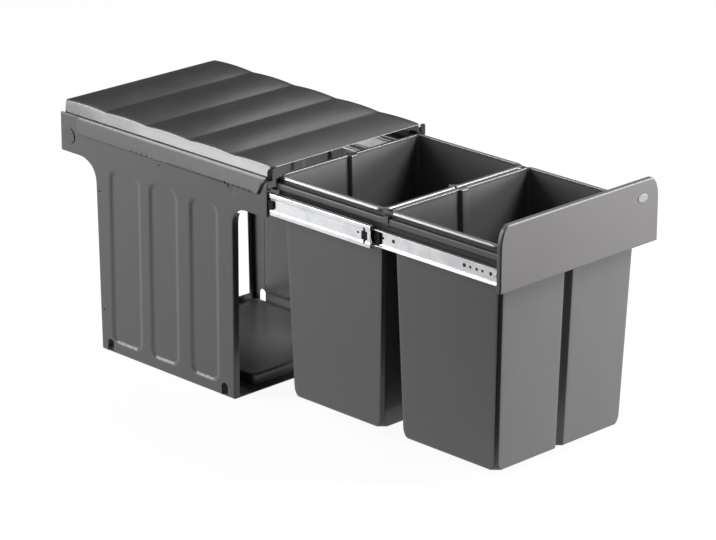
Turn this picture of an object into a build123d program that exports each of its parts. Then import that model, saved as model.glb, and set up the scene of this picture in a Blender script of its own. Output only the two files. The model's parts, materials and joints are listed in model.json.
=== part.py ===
from build123d import *

import os
from math import cos, radians, sin, sqrt

# A pull-out frame that carries two waste bins under a worktop. A housing with a lid
# stands on the cabinet floor, and the frame runs out of it on ball-bearing slides.
# Sizes are in millimetres. The origin is the middle of the floor screw pattern, on the
# underside of the floor plate. +X is to the right, +Y to the back, +Z up.
# The frame is modelled fully pulled out towards -Y, with the lid closed.

travel = 475.0  # of the drawer frame, from fully out to closed

# Housing
width = 346.0  # over both side panels
foot_depth = 320.0
foot_rear_lean = 8.0  # the foot's rear edge leans back towards its top
front_overhang = 78.0
rear_overhang = 92.0
housing_height = 390.0
band_height = 66.0  # of the part of a panel that overhangs the foot
sheet = 1.5  # folded steel of panels, plates, frame and front
fold_r = 1.2  # of its folds, at the middle of the sheet
flange_width = 12.0  # of the foot's inward flange, over the panel
flange_drop = 8.0  # from the band's lower edge to the flange's ends
front_arc_r = 27.0
rear_arc_r = 38.0
panel_corner_r = 3.0
pad_depth = 2.5  # how far the pads are pressed in
pad_slope = 55.0  # degrees from the direction of pressing
pad_bottom = 17.0
pad_drop = 5.0  # from the band's lower edge to the pads
pad_corner_r = 15.0
pad_middle_shares = (-0.286, 0.013, 0.302)  # of the foot's depth
pad_width_shares = (0.212, 0.216, 0.236)
strip_proud = 1.2
strip_height = 30.0
strip_slant = 19.0  # how far the strip's lower front corner is set back
strip_rear = 42.0  # from the panel's rear edge to the strip
hem_rear = 20.0  # from the panel's rear edge to the folded hem
slot_width = 14.5
slot_height = 22.0
slot_inset = 22.0  # from the foot's edges to the middle of each slot
small_hole_r = 1.9
rear_hole_inset = 8.5
rear_hole_height_shares = (0.218, 0.845)  # of the height under the band
band_hole_share = 0.511  # of the housing's depth, from the front
notch_length = 14.0
notch_width = 4.0
notch_angle = 48.0
notch_share = 0.182  # of the housing's depth, from the front
plateau_width = 224.0
plateau_depth = 250.0
plateau_height = 20.0
plateau_front_gap = 19.0  # from the foot's front edge
plateau_corner_r = 10.0
plateau_edge_r = 4.0
rear_lip = 12.0  # height of the floor plate's rear lip
lip_gap = 0.5
floor_screw_span_x = 272.0
floor_screw_span_y = 256.0
floor_hole_r = 2.75
brace_height = 18.0
brace_depth = 19.0
brace_inset = 1.0  # from the panel's rear edge

# Lid
pivot_inset = 20.3  # from the panel's rear edge
pivot_drop = 38.0
pin_r = 4.0
pin_gap = 0.05  # radial running clearance of pins and bushes
pin_head_r = 6.5
pin_head = 1.5
plug_r = 14.0
plug_flange = 1.5
plug_neck_r = 9.0
plug_wall = 1.4  # left over the blind bore
ear_sheet = 2.0
ear_r = 12.0
ear_reach = 42.0  # length of the ear along the cover
ear_height = 10.0  # of the ear's overlap with the cover
lid_sheet = 1.2
lid_side_gap = 2.0  # from the panel's inner face to the cover
lid_dip = 4.0  # how far the cover's side flanges reach under the panels' top edge
lid_rear_inset = 6.0
lid_front_reach = 4.0  # the cover overhangs the panels' front edge
lid_rear_height = 19.6  # of the cover's rear edge over the panels
lid_front_height = 14.8  # of the front valley over the panels
lid_crest = 3.2  # rise of each rib over its valleys
lid_rib_pitch = 99.7
lid_ribs = 3  # full ribs, between a rear rib and a short front rib
lid_rear_rib = 96.5
lid_bead = 22.0  # depth of the rolled front bead
lid_bead_height = 16.4
lid_lip_height = 9.5  # of the front lip's lower edge over the panels
lid_skirt = 10.0  # how far the rear flange reaches under the panels' top edge
lid_corner_r = 7.0
lid_valley_r = 5.0
cap_out = 1.5  # how far the cover's front tabs stand out over the panels
cap_inner = 9.0  # from the panel's outer face to a tab's inner edge
cap_dip = 6.0  # how far the tabs reach under the panels' top edge
cap_height = 20.0
cap_r = 2.5
rest_gap = 0.3
buffer_width = 5.5
buffer_length = 12.0
buffer_inset = 12.0  # from the panel's front edge

# Slides, in depth from the panel's inner face and in height from their middle
slide_drop = 43.4  # from the panel's top edge to the slide's middle
slide_thickness = 12.7
ball_r = 2.2
race_gap = 0.05
race_depth = 0.4
outer_ball_in = 6.0
outer_ball_up = 19.7
inner_ball_in = 8.5
inner_ball_up = 14.9
outer_sheet = 1.2
outer_depth = 10.0
outer_lip = 2.9
mid_sheet = 1.1
mid_gap = 0.7  # between the outer rail's web and the middle rail
mid_depth = 9.0
mid_lip = 0.8
mid_recess = 1.1
mid_recess_half = 10.0
mid_bend_r = 0.8
inner_sheet = 1.4
inner_flange = 5.9
bend_r = 1.0
cage_sheet = 0.4
cage_edge = 0.35
cage_length = 110.0
ball_count = 7
ball_pitch = 14.0
outer_rear_gap = 12.7  # from the outer rail to the lid's pivot bush
outer_inset = 3.0  # from the panel's front edge
mid_length = 425.0
mid_closed_inset = 13.0  # behind the outer rail's front end, when closed
inner_length = 446.0
outer_cage_inset = 43.0  # from the panel's front edge
inner_cage_overlap = 59.5  # from the middle rail's front end
window_length = 12.6
window_half = 7.0
window_inset = 6.9
slit_length = 4.0
slit_half = 13.0
mid_hole_r = 2.0
mid_hole_inset = 26.5
mid_hole_up = 2.2
stop_sheet = 1.0
stop_margin = 2.0
stop_gap = 0.4
rail_stop_out = 15.0
rail_stop_in = 18.0
rail_stop_half = 7.5
rail_stop_gap = 0.4
rail_hole_place_shares = (0.032, 0.069, 0.095, 0.124, 0.151, 0.478, 0.527)
rail_hole_size_shares = (0.230, 0.176, 0.192, 0.176, 0.245, 0.245, 0.176)
rail_hole_up = 1.4
rivet_r = 2.0
rivet_gap = 0.05
rivet_head_r = 3.5
rivet_head = 1.0
rivet_place_shares = (0.0135, 0.702, 0.948)

# Release levers
lever_thick = 3.1
lever_gap = 0.2
lever_length = 16.0
lever_half = 10.3
lever_corner_r = 2.0
lever_share = 0.557  # of the inner rail's length, from the front
lever_arm = 40.0
lever_arm_half = 2.5
lever_pin_r = 1.5
lever_pin_head_r = 2.6
lever_pin_head = 0.8

# Bin frame and bins
band_step = 1.2  # how far the frame's band stands out over the inner rail
band_top = 10.0  # from the panel's top edge down to the band's top edge
band_rise = 16.0  # height of the band
web_reach = 13.6  # from the slide's middle down to the frame rail's lower edge
upstand_top = 0.3  # over the panel's top edge
hang_gap = 0.45  # between an upstand and the rim's lip
rim_inset = 3.25  # from the band's face to the bin's rim
closed_gap = 19.6  # behind the rear bin's rim, when closed
rim_depth = 235.5
bin_gap = 4.0
rim_sheet = 2.0
rim_drop = 2.6
rim_reach = 6.0
rim_corner_r = 14.0
rim_edge_r = 1.0
bin_wall = 2.0
bin_clear = 7.0  # over the floor plate's plateau
bin_draft_x = 9.8  # how much narrower each half is at the bottom
bin_draft_y = 12.8
bin_corner = 5.0
bin_foot_r = 4.0
bin_foot_steps = 3
bin_corner_growth = 7.0  # how much wider the cut corners are at the foot
bin_corner_rise = 15.0  # height over which they narrow again
groove_half = 7.5  # of the rear wall's groove
groove_narrowing = 1.0
groove_flank = 2.0
groove_depth = 6.5
notch_half = 9.8  # of the front wall's groove, whose sides slope at half a right angle
bar_web_drop = 11.5  # from the band's top edge to the crossbars' web
bar_tongue = 12.0
tab_length = 10.0
tab_sheet = 1.2
tab_lift = 4.0  # over the band's top edge
tab_reach = 6.0  # below the band's top edge
tab_shift = 4.0
tab_gap = 0.3

# Front panel
front_width = 350.0
front_bottom = 328.0
front_top = 431.0
front_ahead = 14.4  # from the front bin's rim to the panel's face
front_flange = 8.0
front_corner_x = 18.0
front_corner_z = 36.0
front_edge_r = 2.0
front_lap = 27.0  # of the front crossbar behind the panel
badge_width = 22.0
badge_height = 13.0
badge_thick = 0.8
badge_inset_x = 37.0
badge_inset_z = 28.0
stud_r = 2.0
stud_length = 7.0
nut_across = 7.0
nut_thick = 3.2
stud_span = 84.0
stud_count = 4

overrun = 5.0  # how far cuts run past the surfaces that they open
quarter = 90.0  # degrees
sides = {"left": -1, "right": 1}

# Places that several pieces share
panel_out = width / 2
panel_in = panel_out - sheet
foot_front = -foot_depth / 2
foot_rear = foot_depth / 2
housing_front = foot_front - front_overhang
housing_rear = foot_rear + rear_overhang
housing_depth = housing_rear - housing_front
band_bottom = housing_height - band_height
pivot_y = housing_rear - pivot_inset
pivot_z = housing_height - pivot_drop
slide_z = housing_height - slide_drop
race_r = ball_r + race_gap
outer_front = housing_front + outer_inset
outer_length = pivot_y - plug_neck_r - outer_rear_gap - outer_front
mid_front = outer_front + mid_closed_inset - travel / 2
inner_front = housing_front - travel
frame_web = panel_in - slide_thickness
band_face = frame_web + band_step
band_top_z = housing_height - band_top
upstand_z = housing_height + upstand_top
rim_half_x = band_face - rim_inset
rim_half_y = rim_depth / 2
rear_bin_y = housing_rear - closed_gap - travel - rim_half_y
front_bin_y = rear_bin_y - rim_depth - bin_gap
rim_under_z = upstand_z + rest_gap
bin_bottom_z = plateau_height + bin_clear
hang = rim_sheet + hang_gap
upstand_x = rim_half_x - hang
frame_front = front_bin_y - rim_half_y + hang + sheet
frame_rear = rear_bin_y + rim_half_y - hang - sheet
bar_web_z = band_top_z - bar_web_drop
relief_z = rim_under_z - rim_drop - rest_gap
tab_z = band_top_z + tab_lift
tab_front = (front_bin_y + rear_bin_y) / 2 - tab_length / 2 - tab_shift
front_face = front_bin_y - rim_half_y - front_ahead
front_back = front_face + sheet
lid_out = panel_in - lid_side_gap
lid_in = lid_out - lid_sheet
lid_front = housing_front - lid_front_reach
lid_rear = housing_rear - lid_rear_inset
lid_bottom = housing_height - lid_dip
lever_y = inner_front + lever_share * inner_length


# Helpers for the open part or sketch

def finish(piece: BuildPart, name: str) -> None:
    """Label a finished piece and write its STEP file."""
    piece.part.label = name
    export_step(piece.part, f"parts/{name}.step")


def to_side(side: int) -> None:
    """Turn the open part, drawn on the right, into the piece of the given side."""
    if side < 0:
        mirror(about=Plane.YZ, mode=Mode.REPLACE)


def block(low: tuple, high: tuple, mode: Mode = Mode.ADD) -> None:
    """Add a box between its lowest and highest corners."""
    with Locations(low):
        Box(
            high[0] - low[0],
            high[1] - low[1],
            high[2] - low[2],
            align=(Align.MIN, Align.MIN, Align.MIN),
            mode=mode,
        )


def folded(points: list, thickness: float, radius: float) -> None:
    """Draw the section of a folded sheet along its middle line."""
    with BuildLine() as middle:
        FilletPolyline(*points, radius=radius)
    trace(middle.edges(), line_width=thickness)


def slide_points(points: list) -> list:
    """Turn depths from the panel and heights over the slide's middle into places.

    The points of the upper half are mirrored below the slide's middle.
    """
    upper = [(panel_in - depth, slide_z + up) for depth, up in points]
    lower = [(panel_in - depth, slide_z - up) for depth, up in reversed(points)]
    return upper + lower


def races(ball_in: float, ball_up: float) -> None:
    """Cut the two ball races of one row of balls into the open sketch."""
    with Locations(*slide_points([(ball_in, ball_up)])):
        Circle(race_r, mode=Mode.SUBTRACT)


def seen_from_side(depth: float) -> Plane:
    """Plane that faces the side, at a depth from the panel's inner face."""
    return Plane.YZ.offset(panel_in - depth)


# Housing

def panel_outline(bottom: float) -> None:
    """Draw a side panel's outline down to the given height."""
    with BuildLine() as outline:
        FilletPolyline(
            (foot_front, bottom),
            (foot_rear, bottom),
            (foot_rear + foot_rear_lean, band_bottom),
            (housing_rear, band_bottom),
            (housing_rear, housing_height),
            (housing_front, housing_height),
            (housing_front, band_bottom),
            (foot_front, band_bottom),
            radius=[panel_corner_r] * 2 + [rear_arc_r] + [panel_corner_r] * 4 + [front_arc_r],
            close=True,
        )
    make_face(outline.edges())


def pads() -> None:
    """Draw the three pressed pads of a side panel."""
    top = band_bottom - pad_drop
    for middle_share, width_share in zip(pad_middle_shares, pad_width_shares):
        with Locations((middle_share * foot_depth, (pad_bottom + top) / 2)):
            RectangleRounded(width_share * foot_depth, top - pad_bottom, pad_corner_r)


def panel_openings() -> None:
    """Draw the slots and holes that go through a side panel."""
    for y in (foot_front + slot_inset, foot_rear - slot_inset):
        with Locations((y, 0)):
            SlotOverall(2 * slot_height, slot_width, rotation=quarter)
    for share in rear_hole_height_shares:
        z = share * band_bottom
        edge = foot_rear + share * foot_rear_lean
        with Locations((edge - rear_hole_inset, z)):
            Circle(small_hole_r)
    with Locations((housing_front + band_hole_share * housing_depth, pivot_z)):
        Circle(small_hole_r)
    with Locations((pivot_y, pivot_z)):
        Circle(plug_neck_r + pin_gap)
    rail_notch()


def rail_notch() -> None:
    """Draw the slanted slot by which the outer rail hooks into its panel."""
    strip_z = housing_height - strip_height
    with Locations((housing_front + notch_share * housing_depth, strip_z - notch_width / 2)):
        SlotOverall(notch_length, notch_width, rotation=notch_angle)


def side_panel(name: str, side: int) -> None:
    """Folded side panel with its foot, pads and top strip."""
    strip_z = housing_height - strip_height
    with BuildPart() as panel:
        with BuildSketch(seen_from_side(0)):
            panel_outline(0)
        extrude(amount=sheet)
        with BuildSketch(Plane.YZ.offset(panel_out - flange_width)):
            panel_outline(sheet)
            offset(amount=-sheet, mode=Mode.SUBTRACT)
            with Locations((0, sheet)):
                Rectangle(
                    housing_depth + 2 * rear_overhang,
                    band_bottom - flange_drop - sheet,
                    align=(Align.CENTER, Align.MIN),
                    mode=Mode.INTERSECT,
                )
        extrude(amount=flange_width - sheet)
        with BuildSketch(seen_from_side(0)):
            pads()
        extrude(amount=-pad_depth, taper=pad_slope)
        with BuildSketch(Plane.YZ.offset(panel_out)):
            pads()
        extrude(amount=-pad_depth, taper=pad_slope, mode=Mode.SUBTRACT)
        with BuildSketch(Plane.YZ.offset(panel_out)):
            with BuildLine():
                Polyline(
                    (housing_front, housing_height),
                    (housing_rear - strip_rear, housing_height),
                    (housing_rear - strip_rear, strip_z),
                    (housing_front + strip_slant, strip_z),
                    close=True,
                )
            make_face()
        extrude(amount=strip_proud)
        block(
            (panel_in - sheet, housing_front, housing_height - sheet),
            (panel_in, housing_rear - hem_rear, housing_height),
        )
        with BuildSketch(Plane.YZ.offset(panel_out - flange_width - overrun)):
            panel_openings()
        extrude(amount=flange_width + 2 * overrun, mode=Mode.SUBTRACT)
        to_side(side)
    finish(panel, f"{name}_side_panel")


def floor_plate() -> None:
    """Base sheet with a raised plateau and the four floor screw holes."""
    plateau_y = foot_front + plateau_front_gap + plateau_depth / 2
    with BuildPart() as plate:
        with BuildSketch():
            with Locations((0, plateau_y)):
                RectangleRounded(plateau_width, plateau_depth, plateau_corner_r)
        extrude(amount=plateau_height)
        fillet(plate.faces().sort_by(Axis.Z)[-1].edges(), plateau_edge_r)
        with BuildSketch():
            Rectangle(2 * panel_in, foot_depth)
        extrude(amount=sheet)
        with BuildSketch():
            with Locations((0, plateau_y)):
                RectangleRounded(
                    plateau_width - 2 * sheet,
                    plateau_depth - 2 * sheet,
                    plateau_corner_r - sheet,
                )
            with GridLocations(floor_screw_span_x, floor_screw_span_y, 2, 2):
                Circle(floor_hole_r)
        extrude(amount=plateau_height - sheet, mode=Mode.SUBTRACT)
        end = panel_out - flange_width - lip_gap
        block((-end, foot_rear - sheet, 0), (end, foot_rear, rear_lip))
    finish(plate, "floor_plate")


def rear_brace() -> None:
    """Angle between the panels, low behind the bins."""
    rear = housing_rear - brace_inset
    section = [
        (rear - brace_depth, band_bottom + sheet / 2),
        (rear - sheet / 2, band_bottom + sheet / 2),
        (rear - sheet / 2, band_bottom + brace_height),
    ]
    with BuildPart() as brace:
        with BuildSketch(Plane.YZ.offset(-panel_in)):
            folded(section, sheet, fold_r)
        extrude(amount=2 * panel_in)
    finish(brace, "rear_brace")


def rail_stop(name: str, side: int) -> None:
    """Plastic end of an outer rail, which stands out between the races."""
    face = outer_sheet + mid_gap + mid_recess - rail_stop_gap
    low, high = slide_z - rail_stop_half, slide_z + rail_stop_half
    with BuildPart() as stop:
        block((panel_in - face, outer_front - rail_stop_out, low), (panel_in, outer_front, high))
        fillet(stop.edges().filter_by(Axis.X).group_by(Axis.Y)[0], rail_stop_half / 2)
        block(
            (panel_in - face, outer_front, low),
            (panel_in - outer_sheet, outer_front + rail_stop_in, high),
        )
        to_side(side)
    finish(stop, f"{name}_rail_stop")


def pivot_plug(name: str, side: int) -> None:
    """Bush that carries one of the lid's pins, with a round cap outside."""
    neck_in = lid_in + rest_gap
    bore = panel_out + plug_flange - plug_wall - neck_in
    with BuildPart() as plug:
        with BuildSketch(Plane.YZ.offset(panel_out)):
            with Locations((pivot_y, pivot_z)):
                Circle(plug_r)
        extrude(amount=plug_flange)
        fillet(plug.faces().sort_by(Axis.X)[-1].edges(), plug_flange / 2)
        with BuildSketch(Plane.YZ.offset(neck_in)):
            with Locations((pivot_y, pivot_z)):
                Circle(plug_neck_r)
        extrude(amount=panel_out - neck_in)
        with BuildSketch(Plane.YZ.offset(neck_in)):
            with Locations((pivot_y, pivot_z)):
                Circle(pin_r + pin_gap)
        extrude(amount=bore, mode=Mode.SUBTRACT)
        to_side(side)
    finish(plug, f"{name}_pivot_plug")


def lid_rest_buffers() -> None:
    """Blocks on the outer rails that the lid's side flanges rest on."""
    inner = panel_in - sheet - buffer_width
    front = housing_front + buffer_inset
    rail_top = slide_z + outer_ball_up + race_r - race_depth + outer_sheet
    with BuildPart() as buffers:
        block(
            (inner, front, rail_top),
            (inner + buffer_width, front + buffer_length, lid_bottom - rest_gap),
        )
        mirror(about=Plane.YZ)
    finish(buffers, "lid_rest_buffers")


# Lid

def lid_form(inset: float, bottom: float) -> BuildPart:
    """Ribbed block of the lid's outer form, drawn in by an inset."""
    front, rear = lid_front + inset, lid_rear - inset
    bead_rear = lid_front + lid_bead
    valleys = [lid_rear - lid_rear_rib - rib * lid_rib_pitch for rib in range(lid_ribs + 1)]
    slope = (lid_rear_height - lid_front_height) / (lid_rear - bead_rear)
    stations = [lid_rear] + valleys + [bead_rear]

    def valley_z(y: float) -> float:
        """Height of the cover's valleys at a place along its depth."""
        return housing_height + lid_front_height + slope * (y - bead_rear) - inset

    bead_z = housing_height + lid_bead_height - inset
    with BuildPart() as form:
        with BuildSketch(Plane.YZ.offset(inset - lid_out)) as section:
            with BuildLine():
                for near, far in zip(stations, stations[1:]):
                    middle = (near + far) / 2
                    ThreePointArc(
                        (near, valley_z(near)),
                        (middle, valley_z(middle) + lid_crest),
                        (far, valley_z(far)),
                    )
                ThreePointArc(
                    (bead_rear, valley_z(bead_rear)),
                    ((bead_rear + lid_front) / 2, bead_z),
                    (lid_front, bead_z - lid_crest),
                )
                Polyline(
                    (lid_front, bead_z - lid_crest),
                    (lid_front, bottom),
                    (lid_rear, bottom),
                    (lid_rear, valley_z(lid_rear)),
                )
            make_face()
            dips = section.vertices().filter_by_position(
                Axis.X, bead_rear - lid_sheet, valleys[0] + lid_sheet
            )
            fillet(dips, lid_valley_r)
            with Locations(((front + rear) / 2, bottom)):
                Rectangle(
                    rear - front,
                    housing_height,
                    align=(Align.CENTER, Align.MIN),
                    mode=Mode.INTERSECT,
                )
        extrude(amount=2 * (lid_out - inset))
        upright = form.edges().filter_by(Axis.Z)
        fillet(upright.group_by(Axis.Y)[0], lid_corner_r - inset)
    return form


def lid_cover() -> None:
    """Ribbed cover with side and rear flanges, a rolled front edge and two front tabs."""
    outer = lid_form(0, lid_bottom)
    hollow = lid_form(lid_sheet, lid_bottom - overrun)
    with BuildPart() as cover:
        add(outer.part)
        add(hollow.part, mode=Mode.SUBTRACT)
        block(
            (-lid_in, lid_front - overrun, lid_bottom - overrun),
            (lid_in, lid_front + lid_corner_r, housing_height + lid_lip_height),
            Mode.SUBTRACT,
        )
        block(
            (-lid_out, lid_rear - lid_sheet, housing_height - lid_skirt),
            (lid_out, lid_rear, lid_bottom),
        )
        with BuildSketch(Plane.XZ.offset(-lid_front - lid_sheet)):
            with Locations((panel_out - cap_inner, housing_height - cap_dip)):
                tab = Rectangle(cap_inner + cap_out, cap_height, align=(Align.MIN, Align.MIN))
            fillet(tab.vertices().group_by(Axis.X)[-1], cap_r)
            mirror(about=Plane.YZ)
        extrude(amount=lid_sheet)
    finish(cover, "lid_cover")


def lid_ears() -> None:
    """Plates that hang from the cover's side flanges to the pivots."""
    top = housing_height + lid_front_height - lid_sheet
    with BuildPart() as ears:
        with BuildSketch(Plane.YZ.offset(lid_in - ear_sheet)):
            with Locations((pivot_y, pivot_z)):
                Circle(ear_r)
            with Locations((pivot_y + ear_r, top)):
                Rectangle(ear_reach, ear_height, align=(Align.MAX, Align.MAX))
            make_hull()
            with Locations((pivot_y, pivot_z)):
                Circle(pin_r + pin_gap, mode=Mode.SUBTRACT)
        extrude(amount=ear_sheet)
        mirror(about=Plane.YZ)
    finish(ears, "lid_ears")


def lid_pins() -> None:
    """Pins from the ears into the bushes, with a head inside."""
    head_in = lid_in - ear_sheet - pin_head
    tip = panel_out + plug_flange - plug_wall - rest_gap
    with BuildPart() as pins:
        with BuildSketch(Plane.YZ.offset(head_in)):
            with Locations((pivot_y, pivot_z)):
                Circle(pin_head_r)
        extrude(amount=pin_head)
        with BuildSketch(Plane.YZ.offset(head_in)):
            with Locations((pivot_y, pivot_z)):
                Circle(pin_r)
        extrude(amount=tip - head_in)
        mirror(about=Plane.YZ)
    finish(pins, "lid_pins")


# Slides

def outer_rail(name: str, side: int) -> None:
    """Fixed member of a slide."""
    top = outer_ball_up + race_r - race_depth + outer_sheet / 2
    tip = outer_depth - outer_sheet / 2
    section = [(tip, top - outer_lip), (tip, top), (outer_sheet / 2, top)]
    with BuildPart() as rail:
        with BuildSketch(Plane.XZ.offset(-outer_front - outer_length)):
            folded(slide_points(section), outer_sheet, bend_r)
            races(outer_ball_in, outer_ball_up)
        extrude(amount=outer_length)
        with BuildSketch(seen_from_side(outer_sheet + race_gap)):
            rail_notch()
        extrude(amount=outer_sheet + overrun, mode=Mode.SUBTRACT)
        to_side(side)
    finish(rail, f"{name}_outer_rail")


def mid_rail(name: str, side: int) -> None:
    """Middle member of a slide, with a recessed web and a window near its front."""
    face = outer_sheet + mid_gap + mid_sheet / 2
    web = face + mid_recess
    top = outer_ball_up - race_r + race_depth - mid_sheet / 2
    tip = outer_sheet + mid_gap + mid_depth - mid_sheet / 2
    section = [
        (tip, top - mid_sheet / 2 - mid_lip),
        (tip, top),
        (face, top),
        (face, mid_recess_half + mid_recess),
        (web, mid_recess_half - mid_recess / 2),
    ]
    window_front = mid_front + window_inset
    window_middle = window_front + window_length / 2
    with BuildPart() as rail:
        with BuildSketch(Plane.XZ.offset(-mid_front - mid_length)):
            folded(slide_points(section), mid_sheet, mid_bend_r)
            races(outer_ball_in, outer_ball_up)
            races(inner_ball_in, inner_ball_up)
        extrude(amount=mid_length)
        with BuildSketch(seen_from_side(web + mid_sheet)):
            with Locations((window_middle, slide_z)):
                Rectangle(window_length, 2 * window_half)
                Rectangle(slit_length, 2 * slit_half)
            with Locations((mid_front + mid_hole_inset, slide_z + mid_hole_up)):
                Circle(mid_hole_r)
        extrude(amount=web + mid_sheet, mode=Mode.SUBTRACT)
        to_side(side)
    finish(rail, f"{name}_mid_rail")


def mid_stop(name: str, side: int) -> None:
    """Plastic stop behind the middle rail's web, which fills the window."""
    web_in = web_inside()
    base_half = mid_recess_half - stop_margin / 2
    boss_half = window_half - stop_gap
    front = mid_front + window_inset
    rear = front + window_length
    with BuildPart() as stop:
        block(
            (panel_in - web_in - stop_sheet, front - stop_margin, slide_z - base_half),
            (panel_in - web_in, rear + stop_margin, slide_z + base_half),
        )
        block(
            (panel_in - web_in, front + stop_gap, slide_z - boss_half),
            (panel_in - web_in + mid_sheet - stop_gap, rear - stop_gap, slide_z + boss_half),
        )
        to_side(side)
    finish(stop, f"{name}_mid_stop")


def inner_rail(name: str, side: int) -> None:
    """Drawer member of a slide, with its row of holes."""
    web = slide_thickness - inner_sheet / 2
    top = inner_ball_up - race_r + race_depth - inner_sheet / 2
    height = 2 * top + inner_sheet
    section = [(slide_thickness - inner_flange, top), (web, top)]
    with BuildPart() as rail:
        with BuildSketch(Plane.XZ.offset(-inner_front - inner_length)):
            folded(slide_points(section), inner_sheet, bend_r)
            races(inner_ball_in, inner_ball_up)
        extrude(amount=inner_length)
        with BuildSketch(seen_from_side(slide_thickness + overrun)):
            for place, size in zip(rail_hole_place_shares, rail_hole_size_shares):
                with Locations((inner_front + place * inner_length, slide_z + rail_hole_up)):
                    Circle(size * height / 2)
            rivet_places(rivet_r + rivet_gap)
        extrude(amount=inner_sheet + 2 * overrun, mode=Mode.SUBTRACT)
        to_side(side)
    finish(rail, f"{name}_inner_rail")


def rivet_places(radius: float) -> None:
    """Draw a circle at each rivet between an inner rail and its frame rail."""
    for share in rivet_place_shares:
        with Locations((inner_front + share * inner_length, slide_z)):
            Circle(radius)


def ball_places(front: float) -> list:
    """Places along a cage of its balls."""
    first = front + (cage_length - (ball_count - 1) * ball_pitch) / 2
    return [first + number * ball_pitch for number in range(ball_count)]


def cage(name: str, side: int, web: float, ball_in: float, ball_up: float, front: float) -> None:
    """Thin folded strip that spaces two rows of balls."""
    edge = ball_in + race_r + cage_edge
    with BuildPart() as strip:
        with BuildSketch(Plane.XZ.offset(-front - cage_length)):
            folded(slide_points([(edge, ball_up), (web, ball_up)]), cage_sheet, bend_r)
        extrude(amount=cage_length)
        with BuildSketch(Plane.XY.offset(slide_z - ball_up - overrun)):
            for y in ball_places(front):
                with Locations((panel_in - ball_in, y)):
                    Circle(race_r)
        extrude(amount=2 * (ball_up + overrun), mode=Mode.SUBTRACT)
        to_side(side)
    finish(strip, f"{name}_cage")


def balls(name: str, side: int, ball_in: float, ball_up: float, front: float) -> None:
    """The two rows of balls in one cage."""
    with BuildPart() as rows:
        for y in ball_places(front):
            with Locations(
                (side * (panel_in - ball_in), y, slide_z - ball_up),
                (side * (panel_in - ball_in), y, slide_z + ball_up),
            ):
                Sphere(ball_r)
    finish(rows, f"{name}_balls")


def cages(name: str, side: int) -> None:
    """Outer and inner cage of one slide, each with its balls."""
    outer_web = outer_sheet + mid_gap / 2
    inner_web = (web_inside() + slide_thickness - inner_flange) / 2
    outer_cage_front = housing_front + outer_cage_inset
    inner_cage_front = mid_front + inner_cage_overlap
    cage(f"{name}_outer", side, outer_web, outer_ball_in, outer_ball_up, outer_cage_front)
    cage(f"{name}_inner", side, inner_web, inner_ball_in, inner_ball_up, inner_cage_front)
    balls(f"{name}_outer", side, outer_ball_in, outer_ball_up, outer_cage_front)
    balls(f"{name}_inner", side, inner_ball_in, inner_ball_up, inner_cage_front)


def web_inside() -> float:
    """Depth of the middle rail's inner face."""
    return outer_sheet + mid_gap + mid_recess + mid_sheet


# Release levers

def release_lever(name: str, side: int) -> None:
    """Black lever inside the inner rail, which lets the frame be lifted off."""
    with BuildPart() as lever:
        with BuildSketch(seen_from_side(slide_thickness - inner_sheet - lever_gap - lever_thick)):
            with Locations((lever_y - lever_corner_r / 2, slide_z)):
                RectangleRounded(lever_length, 2 * lever_half, lever_corner_r)
            with Locations((lever_y, slide_z)):
                Rectangle(lever_arm, 2 * lever_arm_half, align=(Align.MIN, Align.CENTER))
            with Locations((lever_y, slide_z)):
                Circle(lever_pin_r + pin_gap, mode=Mode.SUBTRACT)
        extrude(amount=-lever_thick)
        to_side(side)
    finish(lever, f"{name}_release_lever")


def release_pins() -> None:
    """Headed pins on the inner rails that the levers turn on."""
    foot = panel_in - slide_thickness + inner_sheet
    neck = 2 * lever_gap + lever_thick
    with BuildPart() as pins:
        with BuildSketch(Plane.YZ.offset(foot)):
            with Locations((lever_y, slide_z)):
                Circle(lever_pin_r)
        extrude(amount=neck)
        with BuildSketch(Plane.YZ.offset(foot + neck)):
            with Locations((lever_y, slide_z)):
                Circle(lever_pin_head_r)
        extrude(amount=lever_pin_head)
        mirror(about=Plane.YZ)
    finish(pins, "release_pins")


# Bin frame

def frame_rail(name: str, side: int) -> None:
    """Folded side rail that the bins' rims hang on."""
    half = sheet / 2
    band_low = band_top_z - band_rise
    section = [
        (frame_web - half, slide_z - web_reach),
        (frame_web - half, band_low),
        (band_face - half, band_low + band_step),
        (band_face - half, band_top_z - half),
        (upstand_x - half, band_top_z - half),
        (upstand_x - half, upstand_z),
    ]
    turn = rim_half_y - rim_corner_r
    corners = [
        (frame_front, front_bin_y - turn),
        (front_bin_y + turn, rear_bin_y - turn),
        (rear_bin_y + turn, frame_rear),
    ]
    notch = (tab_front - tab_gap, tab_front + tab_length + tab_gap)
    with BuildPart() as rail:
        with BuildSketch(Plane.XZ.offset(-frame_rear)):
            folded(section, sheet, fold_r)
        extrude(amount=frame_rear - frame_front)
        with BuildSketch(Plane.YZ.offset(frame_web - sheet - overrun)):
            rivet_places(rivet_r + rivet_gap)
        extrude(amount=sheet + 2 * overrun, mode=Mode.SUBTRACT)
        for front, rear in corners:
            lower_upstand(front, rear, relief_z)
        lower_upstand(*notch, tab_z - tab_sheet - tab_gap)
        to_side(side)
    finish(rail, f"{name}_frame_rail")


def lower_upstand(front: float, rear: float, z: float) -> None:
    """Cut a stretch of a frame rail's upstand down to a height."""
    block(
        (upstand_x - sheet - overrun, front, z),
        (upstand_x + overrun, rear, upstand_z + overrun),
        Mode.SUBTRACT,
    )


def half_bar(section: list, end: float) -> None:
    """Add a crossbar's right half, lowered where the rims' rounded corners pass over it."""
    with BuildSketch(Plane.YZ) as profile:
        folded(section, sheet, fold_r)
    extrude(profile.sketch, amount=end)
    block(
        (rim_half_x - rim_corner_r, front_face, relief_z),
        (end + overrun, housing_front, upstand_z + overrun),
        Mode.SUBTRACT,
    )


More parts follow.
